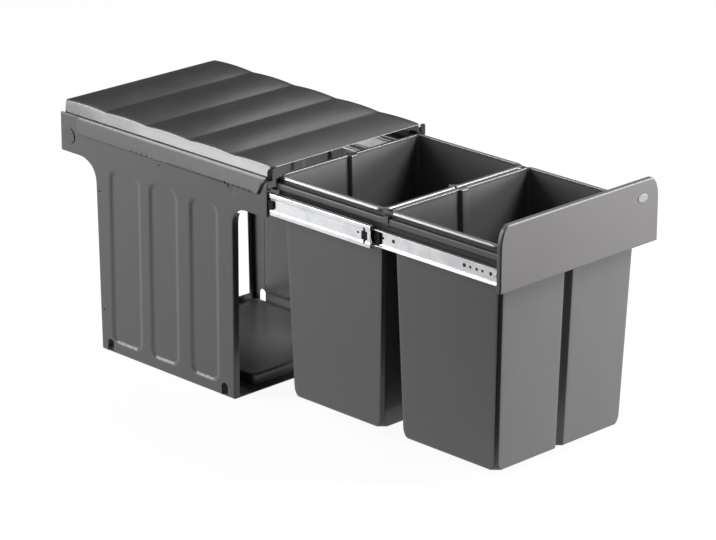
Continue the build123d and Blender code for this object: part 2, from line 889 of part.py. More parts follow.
def front_crossbar() -> None:
    """Bar behind the front panel, with a leaf that is bolted to it."""
    half = sheet / 2
    section = [
        (frame_front - half, upstand_z),
        (frame_front - half, bar_web_z + half),
        (front_back + half, bar_web_z + half),
        (front_back + half, bar_web_z + sheet - front_lap),
    ]
    with BuildPart() as bar:
        half_bar(section, band_face)
        mirror(about=Plane.YZ)
        with BuildSketch(Plane.XZ.offset(-front_back - sheet - overrun)):
            stud_places(stud_r + rivet_gap)
        extrude(amount=2 * overrun + sheet, mode=Mode.SUBTRACT)
    finish(bar, "front_crossbar")


def rear_crossbar() -> None:
    """Bar under the rear bin's rear rim."""
    half = sheet / 2
    section = [
        (frame_rear + half, upstand_z),
        (frame_rear + half, bar_web_z + half),
        (frame_rear + bar_tongue, bar_web_z + half),
    ]
    with BuildPart() as bar:
        half_bar(section, band_face)
        mirror(about=Plane.YZ)
    finish(bar, "rear_crossbar")


def middle_crossbar() -> None:
    """Channel between the bins, with tabs that lap over the frame rails."""
    half = sheet / 2
    rear = rear_bin_y - rim_half_y + hang + half
    front = front_bin_y + rim_half_y - hang - half
    section = [
        (front, upstand_z),
        (front, bar_web_z + half),
        (rear, bar_web_z + half),
        (rear, upstand_z),
    ]
    inner_face = upstand_x - sheet
    tab_face = band_face + tab_sheet
    tab_rear = tab_front + tab_length
    with BuildPart() as bar:
        half_bar(section, inner_face)
        block(
            (inner_face - overrun, front - half, bar_web_z),
            (band_face - sheet, rear + half, bar_web_z + sheet),
        )
        block((inner_face - overrun, tab_front, tab_z - tab_sheet), (tab_face, tab_rear, tab_z))
        block((band_face, tab_front, band_top_z - tab_reach), (tab_face, tab_rear, tab_z))
        mirror(about=Plane.YZ)
    finish(bar, "middle_crossbar")


def rail_rivets() -> None:
    """Rivets between the inner rails and the frame rails."""
    inside = frame_web - sheet
    outside = frame_web + inner_sheet
    with BuildPart() as rivets:
        with BuildSketch(Plane.YZ.offset(inside - rivet_head)):
            rivet_places(rivet_head_r)
        extrude(amount=rivet_head)
        with BuildSketch(Plane.YZ.offset(inside)):
            rivet_places(rivet_r)
        extrude(amount=outside - inside)
        with BuildSketch(Plane.YZ.offset(outside)):
            rivet_places(rivet_head_r)
        extrude(amount=rivet_head)
        mirror(about=Plane.YZ)
    finish(rivets, "rail_rivets")


# Front panel

def front_outline(inset: float, bottom: float) -> None:
    """Draw the front panel's face, drawn in by an inset, with its oval top corners."""
    half = front_width / 2
    turn_x = half - front_corner_x
    turn_z = front_top - front_corner_z
    radius_x = front_corner_x - inset
    radius_z = front_corner_z - inset
    with BuildLine() as outline:
        EllipticalCenterArc((turn_x, turn_z), radius_x, radius_z, 0, arc_size=quarter)
        Line((turn_x, front_top - inset), (-turn_x, front_top - inset))
        EllipticalCenterArc((-turn_x, turn_z), radius_x, radius_z, quarter, arc_size=quarter)
        Polyline(
            (inset - half, turn_z),
            (inset - half, bottom),
            (half - inset, bottom),
            (half - inset, turn_z),
        )
    make_face(outline.edges())


def front_panel() -> None:
    """Folded front with flanges at its top and sides."""
    rear = -front_face - front_flange
    with BuildPart() as panel:
        with BuildSketch(Plane.XZ.offset(rear)):
            front_outline(0, front_bottom)
        extrude(amount=front_flange)
        face_edges = panel.faces().sort_by(Axis.Y)[0].edges().sort_by(Axis.Z)
        fillet(face_edges[1:], front_edge_r)
        with BuildSketch(Plane.XZ.offset(rear)):
            front_outline(sheet, front_bottom - overrun)
        extrude(amount=front_flange - sheet, mode=Mode.SUBTRACT)
    finish(panel, "front_panel")


def stud_places(radius: float, mode: Mode = Mode.ADD) -> None:
    """Draw a circle at each stud of the front panel."""
    with Locations((0, bar_web_z + sheet - front_lap / 2)):
        with GridLocations(stud_span, 0, stud_count, 1):
            Circle(radius, mode=mode)


def panel_studs() -> None:
    """Studs welded to the front panel's back."""
    with BuildPart() as studs:
        with BuildSketch(Plane.XZ.offset(-front_back)):
            stud_places(stud_r)
        extrude(amount=-stud_length)
    finish(studs, "panel_studs")


def panel_nuts() -> None:
    """Nuts that hold the front crossbar on the studs."""
    with BuildPart() as nuts:
        with BuildSketch(Plane.XZ.offset(-front_back - sheet)):
            with Locations((0, bar_web_z + sheet - front_lap / 2)):
                with GridLocations(stud_span, 0, stud_count, 1):
                    RegularPolygon(nut_across / 2, 6, major_radius=False)
            stud_places(stud_r + rivet_gap, Mode.SUBTRACT)
        extrude(amount=-nut_thick)
    finish(nuts, "panel_nuts")


def blank_badge() -> None:
    """Plain oval plate near the front panel's top right corner."""
    place = (front_width / 2 - badge_inset_x, front_top - badge_inset_z)
    with BuildPart() as badge:
        with BuildSketch(Plane.XZ.offset(-front_face)):
            with Locations(place):
                Ellipse(badge_width / 2, badge_height / 2)
        extrude(amount=badge_thick)
        fillet(badge.faces().sort_by(Axis.Y)[0].edges(), badge_thick / 2)
    finish(badge, "blank_badge")


# Bins

def bin_section(z: float, inset: float) -> None:
    """Draw a bin's plan at a height, drawn in by an inset."""
    share = (z - bin_bottom_z) / (rim_under_z - bin_bottom_z)
    half_x = rim_half_x - rim_reach - (1 - share) * bin_draft_x - inset
    half_y = rim_half_y - rim_reach - (1 - share) * bin_draft_y - inset
    growth = bin_corner_growth * max(0, 1 - (z - bin_bottom_z) / bin_corner_rise) ** 2
    cut = bin_corner + growth - inset * (2 - sqrt(2))
    narrowing = (1 - share) * groove_narrowing
    notch = notch_half - narrowing + inset * (sqrt(2) - 1)
    mouth = groove_half - narrowing + inset
    right = [
        (notch, -half_y),
        (half_x - cut, -half_y),
        (half_x, cut - half_y),
        (half_x, half_y - cut),
        (half_x - cut, half_y),
        (mouth, half_y),
        (mouth - groove_flank, half_y - groove_depth),
    ]
    left = [(-x, y) for x, y in reversed(right)]
    with BuildLine() as outline:
        Polyline((0, notch - half_y), *right, *left, close=True)
    make_face(outline.edges())


def waste_bin(name: str, middle_y: float) -> None:
    """Tapered bin with a flanged rim, cut corners and a groove in its front and rear."""
    base = Plane((0, middle_y, 0))
    step = quarter / bin_foot_steps
    corner_top = bin_bottom_z + bin_corner_rise
    corner_middle = (bin_bottom_z + bin_foot_r + corner_top) / 2
    with BuildPart() as body:
        for number in range(bin_foot_steps + 1):
            turn = radians(number * step)
            z = bin_bottom_z + bin_foot_r * (1 - cos(turn))
            with BuildSketch(base.offset(z)):
                bin_section(z, bin_foot_r * (1 - sin(turn)))
        for z in (corner_middle, corner_top, rim_under_z):
            with BuildSketch(base.offset(z)):
                bin_section(z, 0)
        loft(ruled=True)
        with BuildSketch(base.offset(rim_under_z)):
            RectangleRounded(2 * rim_half_x, rim_depth, rim_corner_r)
        extrude(amount=rim_sheet)
        fillet(body.faces().sort_by(Axis.Z)[-1].edges(), rim_edge_r)
        with BuildSketch(base.offset(rim_under_z - rim_drop)):
            RectangleRounded(2 * rim_half_x, rim_depth, rim_corner_r)
            offset(amount=-rim_sheet, mode=Mode.SUBTRACT)
        extrude(amount=rim_drop)
        top = rim_under_z + rim_sheet + overrun
        for z in (bin_bottom_z + bin_wall, corner_middle, corner_top, top):
            with BuildSketch(base.offset(z)):
                bin_section(z, bin_wall)
        loft(ruled=True, mode=Mode.SUBTRACT)
    finish(body, name)


def build() -> None:
    """Make every piece and write it to its file."""
    os.makedirs("parts", exist_ok=True)
    for name, side in sides.items():
        side_panel(name, side)
        outer_rail(name, side)
        rail_stop(name, side)
        pivot_plug(name, side)
        mid_rail(name, side)
        mid_stop(name, side)
        cages(name, side)
        inner_rail(name, side)
        release_lever(name, side)
        frame_rail(name, side)
    floor_plate()
    rear_brace()
    lid_rest_buffers()
    lid_cover()
    lid_ears()
    lid_pins()
    release_pins()
    front_crossbar()
    middle_crossbar()
    rear_crossbar()
    rail_rivets()
    front_panel()
    panel_studs()
    panel_nuts()
    blank_badge()
    waste_bin("front_bin", front_bin_y)
    waste_bin("rear_bin", rear_bin_y)


build()
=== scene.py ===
"""Looks of the pull-out bin frame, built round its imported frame."""

import json
import logging
import math
from dataclasses import dataclass, field
from enum import Enum

import bmesh
import bpy
import numpy as np
from mathutils import Matrix, Vector
from mathutils.geometry import delaunay_2d_cdt

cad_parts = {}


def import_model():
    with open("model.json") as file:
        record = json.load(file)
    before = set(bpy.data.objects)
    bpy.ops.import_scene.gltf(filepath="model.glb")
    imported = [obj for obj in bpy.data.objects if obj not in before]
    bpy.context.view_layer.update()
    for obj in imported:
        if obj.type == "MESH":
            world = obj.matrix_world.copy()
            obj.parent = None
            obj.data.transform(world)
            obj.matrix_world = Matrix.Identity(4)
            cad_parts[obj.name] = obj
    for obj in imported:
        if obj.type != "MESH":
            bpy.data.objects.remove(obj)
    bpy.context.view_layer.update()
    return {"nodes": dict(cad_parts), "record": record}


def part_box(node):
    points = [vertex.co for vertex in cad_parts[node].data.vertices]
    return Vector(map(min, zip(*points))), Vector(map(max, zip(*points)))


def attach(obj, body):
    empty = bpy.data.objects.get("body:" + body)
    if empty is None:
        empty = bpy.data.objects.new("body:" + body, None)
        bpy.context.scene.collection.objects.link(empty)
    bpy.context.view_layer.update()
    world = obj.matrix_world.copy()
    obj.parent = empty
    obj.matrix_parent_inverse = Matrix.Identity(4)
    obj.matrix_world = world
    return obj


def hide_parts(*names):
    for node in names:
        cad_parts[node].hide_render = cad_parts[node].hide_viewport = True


LOG = logging.getLogger("bin_frame")
MM = 0.001
WELD = 1e-6  # metres under which two points of a mesh become one
SNAP = 1e-5  # millimetres under which two points of a face's net become one
NEARLY_ZERO = 1e-6
STRAIGHT = math.radians(89.0)  # half of the angle over which a corner counts as none

Colour = tuple[float, float, float]
Point = tuple[float, float, float]
Flat = tuple[float, float]


# Shader maths


class Term:
    """One output socket of a node tree, with operators that add Math nodes."""

    def __init__(self, shade: "Shade", socket: bpy.types.NodeSocket) -> None:
        """Wrap a socket.

        Args:
            shade: The tree that the socket belongs to.
            socket: The output socket.
        """
        self.shade = shade
        self.socket = socket

    def _with(self, operation: str, first: "Number", second: "Number") -> "Term":
        """Add a Math node for one operation and return its value."""
        return self.shade.node("ShaderNodeMath", {"operation": operation}, {0: first, 1: second})

    def __add__(self, other: "Number") -> "Term":
        """Sum."""
        return self._with("ADD", self, other)

    def __radd__(self, other: "Number") -> "Term":
        """Sum with a number first."""
        return self._with("ADD", other, self)

    def __sub__(self, other: "Number") -> "Term":
        """Difference."""
        return self._with("SUBTRACT", self, other)

    def __rsub__(self, other: "Number") -> "Term":
        """Difference with a number first."""
        return self._with("SUBTRACT", other, self)

    def __mul__(self, other: "Number") -> "Term":
        """Product."""
        return self._with("MULTIPLY", self, other)

    def __rmul__(self, other: "Number") -> "Term":
        """Product with a number first."""
        return self._with("MULTIPLY", other, self)

    def clamped(self) -> "Term":
        """The value held between 0 and 1."""
        return self.shade.node("ShaderNodeClamp", {}, {"Value": self})

    def between(self, low: float, high: float) -> "Term":
        """The value's place between two limits, from 0 to 1, smoothed.

        Args:
            low: The value that gives 0.
            high: The value that gives 1.

        Returns:
            The smoothed share.
        """
        return self.shade.node(
            "ShaderNodeMapRange",
            {"interpolation_type": "SMOOTHSTEP"},
            {"Value": self, "From Min": low, "From Max": high},
        )


Number = float | Term


@dataclass(frozen=True)
class Waves:
    """A noise: waves per metre, finer layers, their strength, and the band that counts."""

    scale: float
    detail: float = 2.0
    rough: float = 0.5
    band: Flat = (0.0, 1.0)


def scaled(colour: Colour, share: float) -> Colour:
    """A colour made darker or lighter by a share."""
    return tuple(min(1.0, part * share) for part in colour)


class Shade:
    """The node tree of a material or a world."""

    edge_turn: Flat = (0.02, 0.25)  # 1 less the cosine of the turn: where an edge starts and is full
    open_alone: Flat = (0.35, 0.9)  # share of free surroundings, where only the piece itself counts
    open_joined: Flat = (0.6, 0.98)  # the same, where its neighbours count too
    facing_up: Flat = (0.3, 0.95)  # upward part of the normal
    samples: int = 6

    def __init__(self, owner: "str | bpy.types.World") -> None:
        """Start an empty tree.

        Args:
            owner: The name of a new material, or the world that gets the nodes.
        """
        self.owner = bpy.data.materials.new(owner) if isinstance(owner, str) else owner
        self.owner.use_nodes = True
        self.tree = self.owner.node_tree
        self.tree.nodes.clear()

    def node(
        self,
        kind: str,
        settings: dict[str, object],
        inputs: dict[str | int, object],
        output: str | int | None = 0,
    ) -> Term | None:
        """Add a node.

        Args:
            kind: The node's type.
            settings: Its own settings, set first.
            inputs: The values of its sockets, or the terms that feed them.
            output: The socket that is wanted from it, or None where it ends the tree.

        Returns:
            The wanted output.
        """
        node = self.tree.nodes.new(kind)
        for key, value in settings.items():
            setattr(node, key, value)
        for key, value in inputs.items():
            if isinstance(value, Term):
                self.tree.links.new(value.socket, node.inputs[key])
            else:
                node.inputs[key].default_value = value
        return None if output is None else Term(self, node.outputs[output])

    def rays(self) -> tuple[Term, ...]:
        """Whether a ray is the camera's, a mirrored one or one that passed through something."""
        kinds = ("Camera", "Glossy", "Transmission")
        return tuple(self.node("ShaderNodeLightPath", {}, {}, f"Is {kind} Ray") for kind in kinds)

    def place(self, stretch: Point = (1.0, 1.0, 1.0)) -> Term:
        """The object's own coordinates, stretched.

        Args:
            stretch: How much finer the pattern is along each axis.

        Returns:
            The coordinates.
        """
        where = self.node("ShaderNodeTexCoord", {}, {}, "Object")
        return self.node("ShaderNodeVectorMath", {"operation": "MULTIPLY"}, {0: where, 1: stretch})

    def noise(self, where: Term, waves: Waves) -> Term:
        """Noise from 0 to 1.

        Args:
            where: The coordinates.
            waves: How it looks.

        Returns:
            The noise's value.
        """
        return self.node(
            "ShaderNodeTexNoise",
            {},
            {"Vector": where, "Scale": waves.scale, "Detail": waves.detail, "Roughness": waves.rough},
            "Fac",
        )

    def spots(self, where: Term, waves: Waves) -> Term:
        """Noise that is 0 under its band and 1 over it."""
        return self.noise(where, waves).between(*waves.band)

    def blend(self, share: Number, first: Colour | Term, second: Colour | Term) -> Term:
        """Mix two colours.

        Args:
            share: How much of the second colour there is.
            first: The first colour.
            second: The second colour.

        Returns:
            The mixed colour.
        """
        return self.node(
            "ShaderNodeMix",
            {"data_type": "RGBA"},
            {0: share, 6: self._colour(first), 7: self._colour(second)},
            2,
        )

    @staticmethod
    def _colour(value: Colour | Term) -> tuple[float, ...] | Term:
        """A colour with its alpha, or the term that it already is."""
        return value if isinstance(value, Term) else (*value, 1.0)

    def edges(self, radius: float) -> tuple[Term, Term]:
        """Rounded normals, and a mask of the edges that they round.

        Args:
            radius: The rounding, in metres.

        Returns:
            The rounded normal and the mask.
        """
        rounded = self.node("ShaderNodeBevel", {"samples": self.samples}, {"Radius": radius}, "Normal")
        flat = self.node("ShaderNodeNewGeometry", {}, {}, "Normal")
        along = self.node(
            "ShaderNodeVectorMath", {"operation": "DOT_PRODUCT"}, {0: rounded, 1: flat}, "Value"
        )
        return rounded, (1.0 - along).between(*self.edge_turn)

    def openness(self, reach: float, alone: bool = True) -> Term:
        """How open the surface is to its surroundings, from 0 to 1.

        Args:
            reach: How far the surroundings count, in metres.
            alone: Whether only the piece itself counts.

        Returns:
            0 deep in a crevice and 1 on an open face.
        """
        seen = self.node(
            "ShaderNodeAmbientOcclusion",
            {"samples": self.samples, "only_local": alone},
            {"Distance": reach},
            "AO",
        )
        return seen.between(*(self.open_alone if alone else self.open_joined))

    def up(self) -> Term:
        """The height over the object's own origin, in metres."""
        where = self.node("ShaderNodeTexCoord", {}, {}, "Object")
        return self.node("ShaderNodeSeparateXYZ", {}, {0: where}, 2)

    def upward(self) -> Term:
        """How much the surface faces up.

        Returns:
            0 on an upright face and 1 on a level one.
        """
        normal = self.node("ShaderNodeNewGeometry", {}, {}, "Normal")
        parts = self.node("ShaderNodeSeparateXYZ", {}, {0: normal}, 2)
        return parts.between(*self.facing_up)

    def finish(
        self,
        colour: Term,
        roughness: Term,
        height: Term,
        depth: float,
        normal: Term,
        others: dict[str, Number],
    ) -> bpy.types.Material:
        """Close the material with its shader.

        Args:
            colour: The base colour.
            roughness: The roughness.
            height: The relief's height, from 0 to 1.
            depth: The relief's depth, in metres.
            normal: The normal that the relief stands on.
            others: The shader's other sockets that are set.

        Returns:
            The material.
        """
        relief = self.node(
            "ShaderNodeBump", {}, {"Distance": depth, "Height": height, "Normal": normal}
        )
        look = {"Base Color": colour, "Roughness": roughness.clamped(), "Normal": relief}
        return self.close(self.node("ShaderNodeBsdfPrincipled", {}, {**look, **others}))

    def close(self, shader: Term) -> "bpy.types.Material | bpy.types.World":
        """Send a shader to the tree's output.

        Args:
            shader: The shader.

        Returns:
            The material or the world.
        """
        kind = "Material" if isinstance(self.owner, bpy.types.Material) else "World"
        self.node(f"ShaderNodeOutput{kind}", {}, {"Surface": shader}, None)
        return self.owner


# Finishes


@dataclass(frozen=True)
class Paint:
    """Satin powder paint on folded steel."""

    colour: Colour
    roughness: float = 0.42
    coat: float = 0.25
    coat_roughness: float = 0.22
    edge_radius: float = 0.0007
    crevice: float = 0.012
    alone: bool = True
    depth: float = 0.00004
    shades: Flat = (0.90, 1.10)
    clouds: Waves = Waves(7.0, 4.0, 0.6)
    cloud_roughness: float = 0.10
    peel: Waves = Waves(620.0)
    peel_share: float = 0.8
    specks: Waves = Waves(2300.0, 1.0, 0.5, (0.55, 0.8))
    speck_tint: Colour = (0.32, 0.32, 0.32)
    speck_share: float = 0.10
    dust: Waves = Waves(19.0, 5.0, 0.65, (0.45, 0.8))
    dust_tint: Colour = (0.42, 0.41, 0.39)
    dust_share: float = 0.05
    dust_roughness: float = 0.06
    wear: Waves = Waves(55.0, 4.0, 0.7, (0.40, 0.66))
    wear_tint: Colour = (0.40, 0.40, 0.41)
    wear_share: float = 0.30
    wear_polish: float = 0.12
    # share of the colour that is left deep in crevices: painted shade
    seam_share: float = 0.12
    seam_roughness: float = 0.4

    def material(self, name: str) -> bpy.types.Material:
        """Make the paint's material.

        Args:
            name: The material's name.

        Returns:
            The material.
        """
        shade = Shade(name)
        where = shade.place()
        cloud, speck = shade.noise(where, self.clouds), shade.noise(where, self.specks)
        rounded, edge = shade.edges(self.edge_radius)
        worn = (edge * shade.spots(where, self.wear) * self.wear_share).clamped()
        dust = shade.upward() * shade.spots(where, self.dust)
        opened = shade.openness(self.crevice, self.alone)
        base = shade.blend(cloud, *(scaled(self.colour, share) for share in self.shades))
        base = shade.blend(speck.between(*self.specks.band) * self.speck_share, base, self.speck_tint)
        base = shade.blend(dust * self.dust_share, base, self.dust_tint)
        base = shade.blend(worn, base, self.wear_tint)
        # painted shade: the colour darkens in crevices and gaps, where shade falls
        base = shade.blend(opened, scaled(self.colour, self.seam_share), base)
        rough = self.roughness + (cloud - 0.5) * self.cloud_roughness + dust * self.dust_roughness
        rough = rough - worn * self.wear_polish + (1.0 - opened) * self.seam_roughness
        relief = shade.noise(where, self.peel) * self.peel_share + speck * (1.0 - self.peel_share)
        coat = {"Coat Weight": opened * self.coat, "Coat Roughness": self.coat_roughness}
        return shade.finish(base, rough, relief, self.depth, rounded, coat)


@dataclass(frozen=True)
class Zinc:
    """Bright zinc on rolled steel, with lengthwise drawing lines."""

    colour: Colour = (0.80, 0.81, 0.83)
    roughness: float = 0.26
    metallic: float = 0.82
    edge_radius: float = 0.0005
    edge_tint: Colour = (0.92, 0.92, 0.93)
    edge_share: float = 0.35
    depth: float = 0.00002
    dull: float = 0.78
    bloom: Waves = Waves(38.0, 4.0, 0.6, (0.3, 0.75))
    bloom_roughness: float = 0.16
    lines: Waves = Waves(1.0, 3.0, 0.6, (0.45, 0.8))
    line_stretch: Point = (900.0, 7.0, 900.0)
    line_tint: Colour = (0.55, 0.56, 0.58)
    line_share: float = 0.25
    line_roughness: float = 0.10

    def material(self, name: str) -> bpy.types.Material:
        """Make the zinc's material.

        Args:
            name: The material's name.

        Returns:
            The material.
        """
        shade = Shade(name)
        lines = shade.noise(shade.place(self.line_stretch), self.lines)
        bloom = shade.noise(shade.place(), self.bloom)
        rounded, edge = shade.edges(self.edge_radius)
        base = shade.blend(bloom.between(*self.bloom.band), self.colour, scaled(self.colour, self.dull))
        base = shade.blend(lines.between(*self.lines.band) * self.line_share, base, self.line_tint)
        base = shade.blend(edge * self.edge_share, base, self.edge_tint)
        rough = self.roughness + (bloom - 0.5) * self.bloom_roughness + lines * self.line_roughness
        return shade.finish(base, rough, lines, self.depth, rounded, {"Metallic": self.metallic})


@dataclass(frozen=True)
class Steel:
    """Polished steel of balls, pins and rivets."""

    colour: Colour = (0.72, 0.72, 0.74)
    roughness: float = 0.20
    metallic: float = 1.0
    edge_radius: float = 0.0003
    edge_tint: Colour = (0.9, 0.9, 0.9)
    edge_share: float = 0.2
    depth: float = 0.00001
    dull: float = 0.8
    clouds: Waves = Waves(90.0)
    scratches: Waves = Waves(700.0, 3.0, 0.7)
    scratch_roughness: float = 0.15

    def material(self, name: str) -> bpy.types.Material:
        """Make the steel's material.

        Args:
            name: The material's name.

        Returns:
            The material.
        """
        shade = Shade(name)
        where = shade.place()
        scratches = shade.noise(where, self.scratches)
        rounded, edge = shade.edges(self.edge_radius)
        base = shade.blend(shade.noise(where, self.clouds), scaled(self.colour, self.dull), self.colour)
        base = shade.blend(edge * self.edge_share, base, self.edge_tint)
        rough = self.roughness + scratches * self.scratch_roughness
        return shade.finish(base, rough, scratches, self.depth, rounded, {"Metallic": self.metallic})


class Grain(Enum):
    """Surface of a moulded plastic: its waves and their depth in metres."""

    FINE = (Waves(1500.0, 2.0, 0.6), 0.00003)
    SOFT = (Waves(800.0, 2.0, 0.6), 0.00006)


@dataclass(frozen=True)
class Plastic:
    """Moulded plastic with a spark-eroded grain, polished over a height where one is given."""

    colour: Colour
    roughness: float = 0.4
    grain: Grain = Grain.FINE
    grain_roughness: float = 0.05
    edge_radius: float = 0.0008
    edge_gain: float = 1.8
    edge_share: float = 0.18
    crevice: float = 0.010
    # share of the colour that is left deep in crevices: painted shade
    seam_share: float = 0.2
    shine: float = 0.5
    coat: float = 0.0
    coat_roughness: float = 0.15
    shades: Flat = (0.92, 1.09)
    flow: Waves = Waves(26.0, 3.0, 0.55)
    flow_stretch: Point = (1.0, 1.0, 0.25)
    flow_roughness: float = 0.08
    scuffs: Waves = Waves(3.0, 4.0, 0.7, (0.60, 0.78))
    scuff_stretch: Point = (60.0, 60.0, 4.0)
    scuff_tint: Colour = (0.35, 0.35, 0.35)
    scuff_share: float = 0.06
    scuff_roughness: float = 0.08
    polish_from: float | None = None
    polish_over: float = 0.001
    polish: float = 0.16

    def material(self, name: str) -> bpy.types.Material:
        """Make the plastic's material.

        Args:
            name: The material's name.

        Returns:
            The material.
        """
        shade = Shade(name)
        waves, depth = self.grain.value
        cells = shade.noise(shade.place(), waves)
        flow = shade.noise(shade.place(self.flow_stretch), self.flow)
        scuffs = shade.spots(shade.place(self.scuff_stretch), self.scuffs)
        rounded, edge = shade.edges(self.edge_radius)
        base = shade.blend(flow, *(scaled(self.colour, share) for share in self.shades))
        base = shade.blend(scuffs * self.scuff_share, base, self.scuff_tint)
        base = shade.blend(edge * self.edge_share, base, scaled(self.colour, self.edge_gain))
        opened = shade.openness(self.crevice)
        # painted shade: the colour darkens in the piece's own crevices, where shade falls
        base = shade.blend(opened, scaled(self.colour, self.seam_share), base)
        rough = self.roughness + (flow - 0.5) * self.flow_roughness
        rough = rough + scuffs * self.scuff_roughness + cells * self.grain_roughness
        coat = self.coat
        if self.polish_from is not None:
            smooth = shade.up().between(self.polish_from, self.polish_from + self.polish_over)
            rough = rough - smooth * self.polish
            coat = self.coat + smooth * (1.0 - self.coat)
        others = {
            "Coat Weight": coat,
            "Coat Roughness": self.coat_roughness,
            "Specular IOR Level": self.shine,
        }
        return shade.finish(base, rough, cells, depth, rounded, others)


@dataclass(frozen=True)
class Finishes:
    """Every finish of the object, under its name in the record."""

    housing_paint: Paint = Paint((0.090, 0.086, 0.085), roughness=0.34)
    lid_paint: Paint = Paint((0.043, 0.043, 0.042), roughness=0.30, coat=0.6)
    # the frame's painted shade also counts neighbouring parts, darkening it under the bins' rims and
    # over the rails
    frame_paint: Paint = Paint((0.098, 0.096, 0.095), crevice=0.014, alone=False)
    front_paint: Paint = Paint((0.118, 0.113, 0.112), roughness=0.36, edge_radius=0.0025)
    zinc_steel: Zinc = Zinc()
    steel: Steel = Steel()
    black_plastic: Plastic = Plastic((0.010, 0.010, 0.010), roughness=0.5, shine=0.15)
    grey_plastic: Plastic = Plastic((0.085, 0.084, 0.082), roughness=0.42)
    badge_plastic: Plastic = Plastic((0.30, 0.30, 0.31), roughness=0.25)
    bin_plastic: Plastic = Plastic(
        (0.100, 0.096, 0.097),
        roughness=0.36,
        grain=Grain.SOFT,
        coat=0.25,
        coat_roughness=0.12,
        polish_from=0.3872,
    )

    def materials(self) -> dict[str, bpy.types.Material]:
        """Make every material, by slot name."""
        return {slot: getattr(self, slot).material(slot) for slot in self.__dataclass_fields__}


# Studio


@dataclass(frozen=True)
class View:
    """Where the photograph was taken from."""

    azimuth: float = -45.0
    elevation: float = 19.7
    roll: float = 0.25
    distance: float = 5.2846
    target: Point = (-0.101, -0.3657, 0.2539)
    focal_px: float = 3424.4
    width_px: float = 716.0
    sensor_mm: float = 36.0
    reach: float = 100.0

    def build(self) -> None:
        """Add the camera."""
        turn, rise = math.radians(self.azimuth), math.radians(self.elevation)
        level = math.cos(rise)
        back = Vector((math.sin(turn) * level, -math.cos(turn) * level, math.sin(rise)))
        right = Vector((0.0, 0.0, 1.0)).cross(back).normalized()
        up = back.cross(right)
        basis = Matrix((right, up, back)).transposed().to_4x4()
        lens = bpy.data.cameras.new("photo_camera")
        lens.sensor_width = self.sensor_mm
        lens.lens = self.focal_px / self.width_px * self.sensor_mm
        lens.clip_end = self.reach
        camera = bpy.data.objects.new("photo_camera", lens)
        spin = Matrix.Rotation(math.radians(self.roll), 4, "Z")
        place = Vector(self.target) + back * self.distance
        camera.matrix_world = Matrix.Translation(place) @ basis @ spin
        bpy.context.scene.collection.objects.link(camera)
        bpy.context.scene.camera = camera


@dataclass(frozen=True)
class Lamp:
    """A soft rectangular lamp that faces a point."""

    name: str
    place: Point
    aim: Point
    width: float
    height: float
    watts: float

    def build(self) -> None:
        """Add the lamp."""
        light = bpy.data.lights.new(self.name, "AREA")
        light.shape = "RECTANGLE"
        light.size = self.width
        light.size_y = self.height
        light.energy = self.watts
        holder = bpy.data.objects.new(self.name, light)
        holder.location = self.place
        aim = Vector(self.aim) - Vector(self.place)
        holder.rotation_euler = aim.to_track_quat("-Z", "Y").to_euler()
        bpy.context.scene.collection.objects.link(holder)


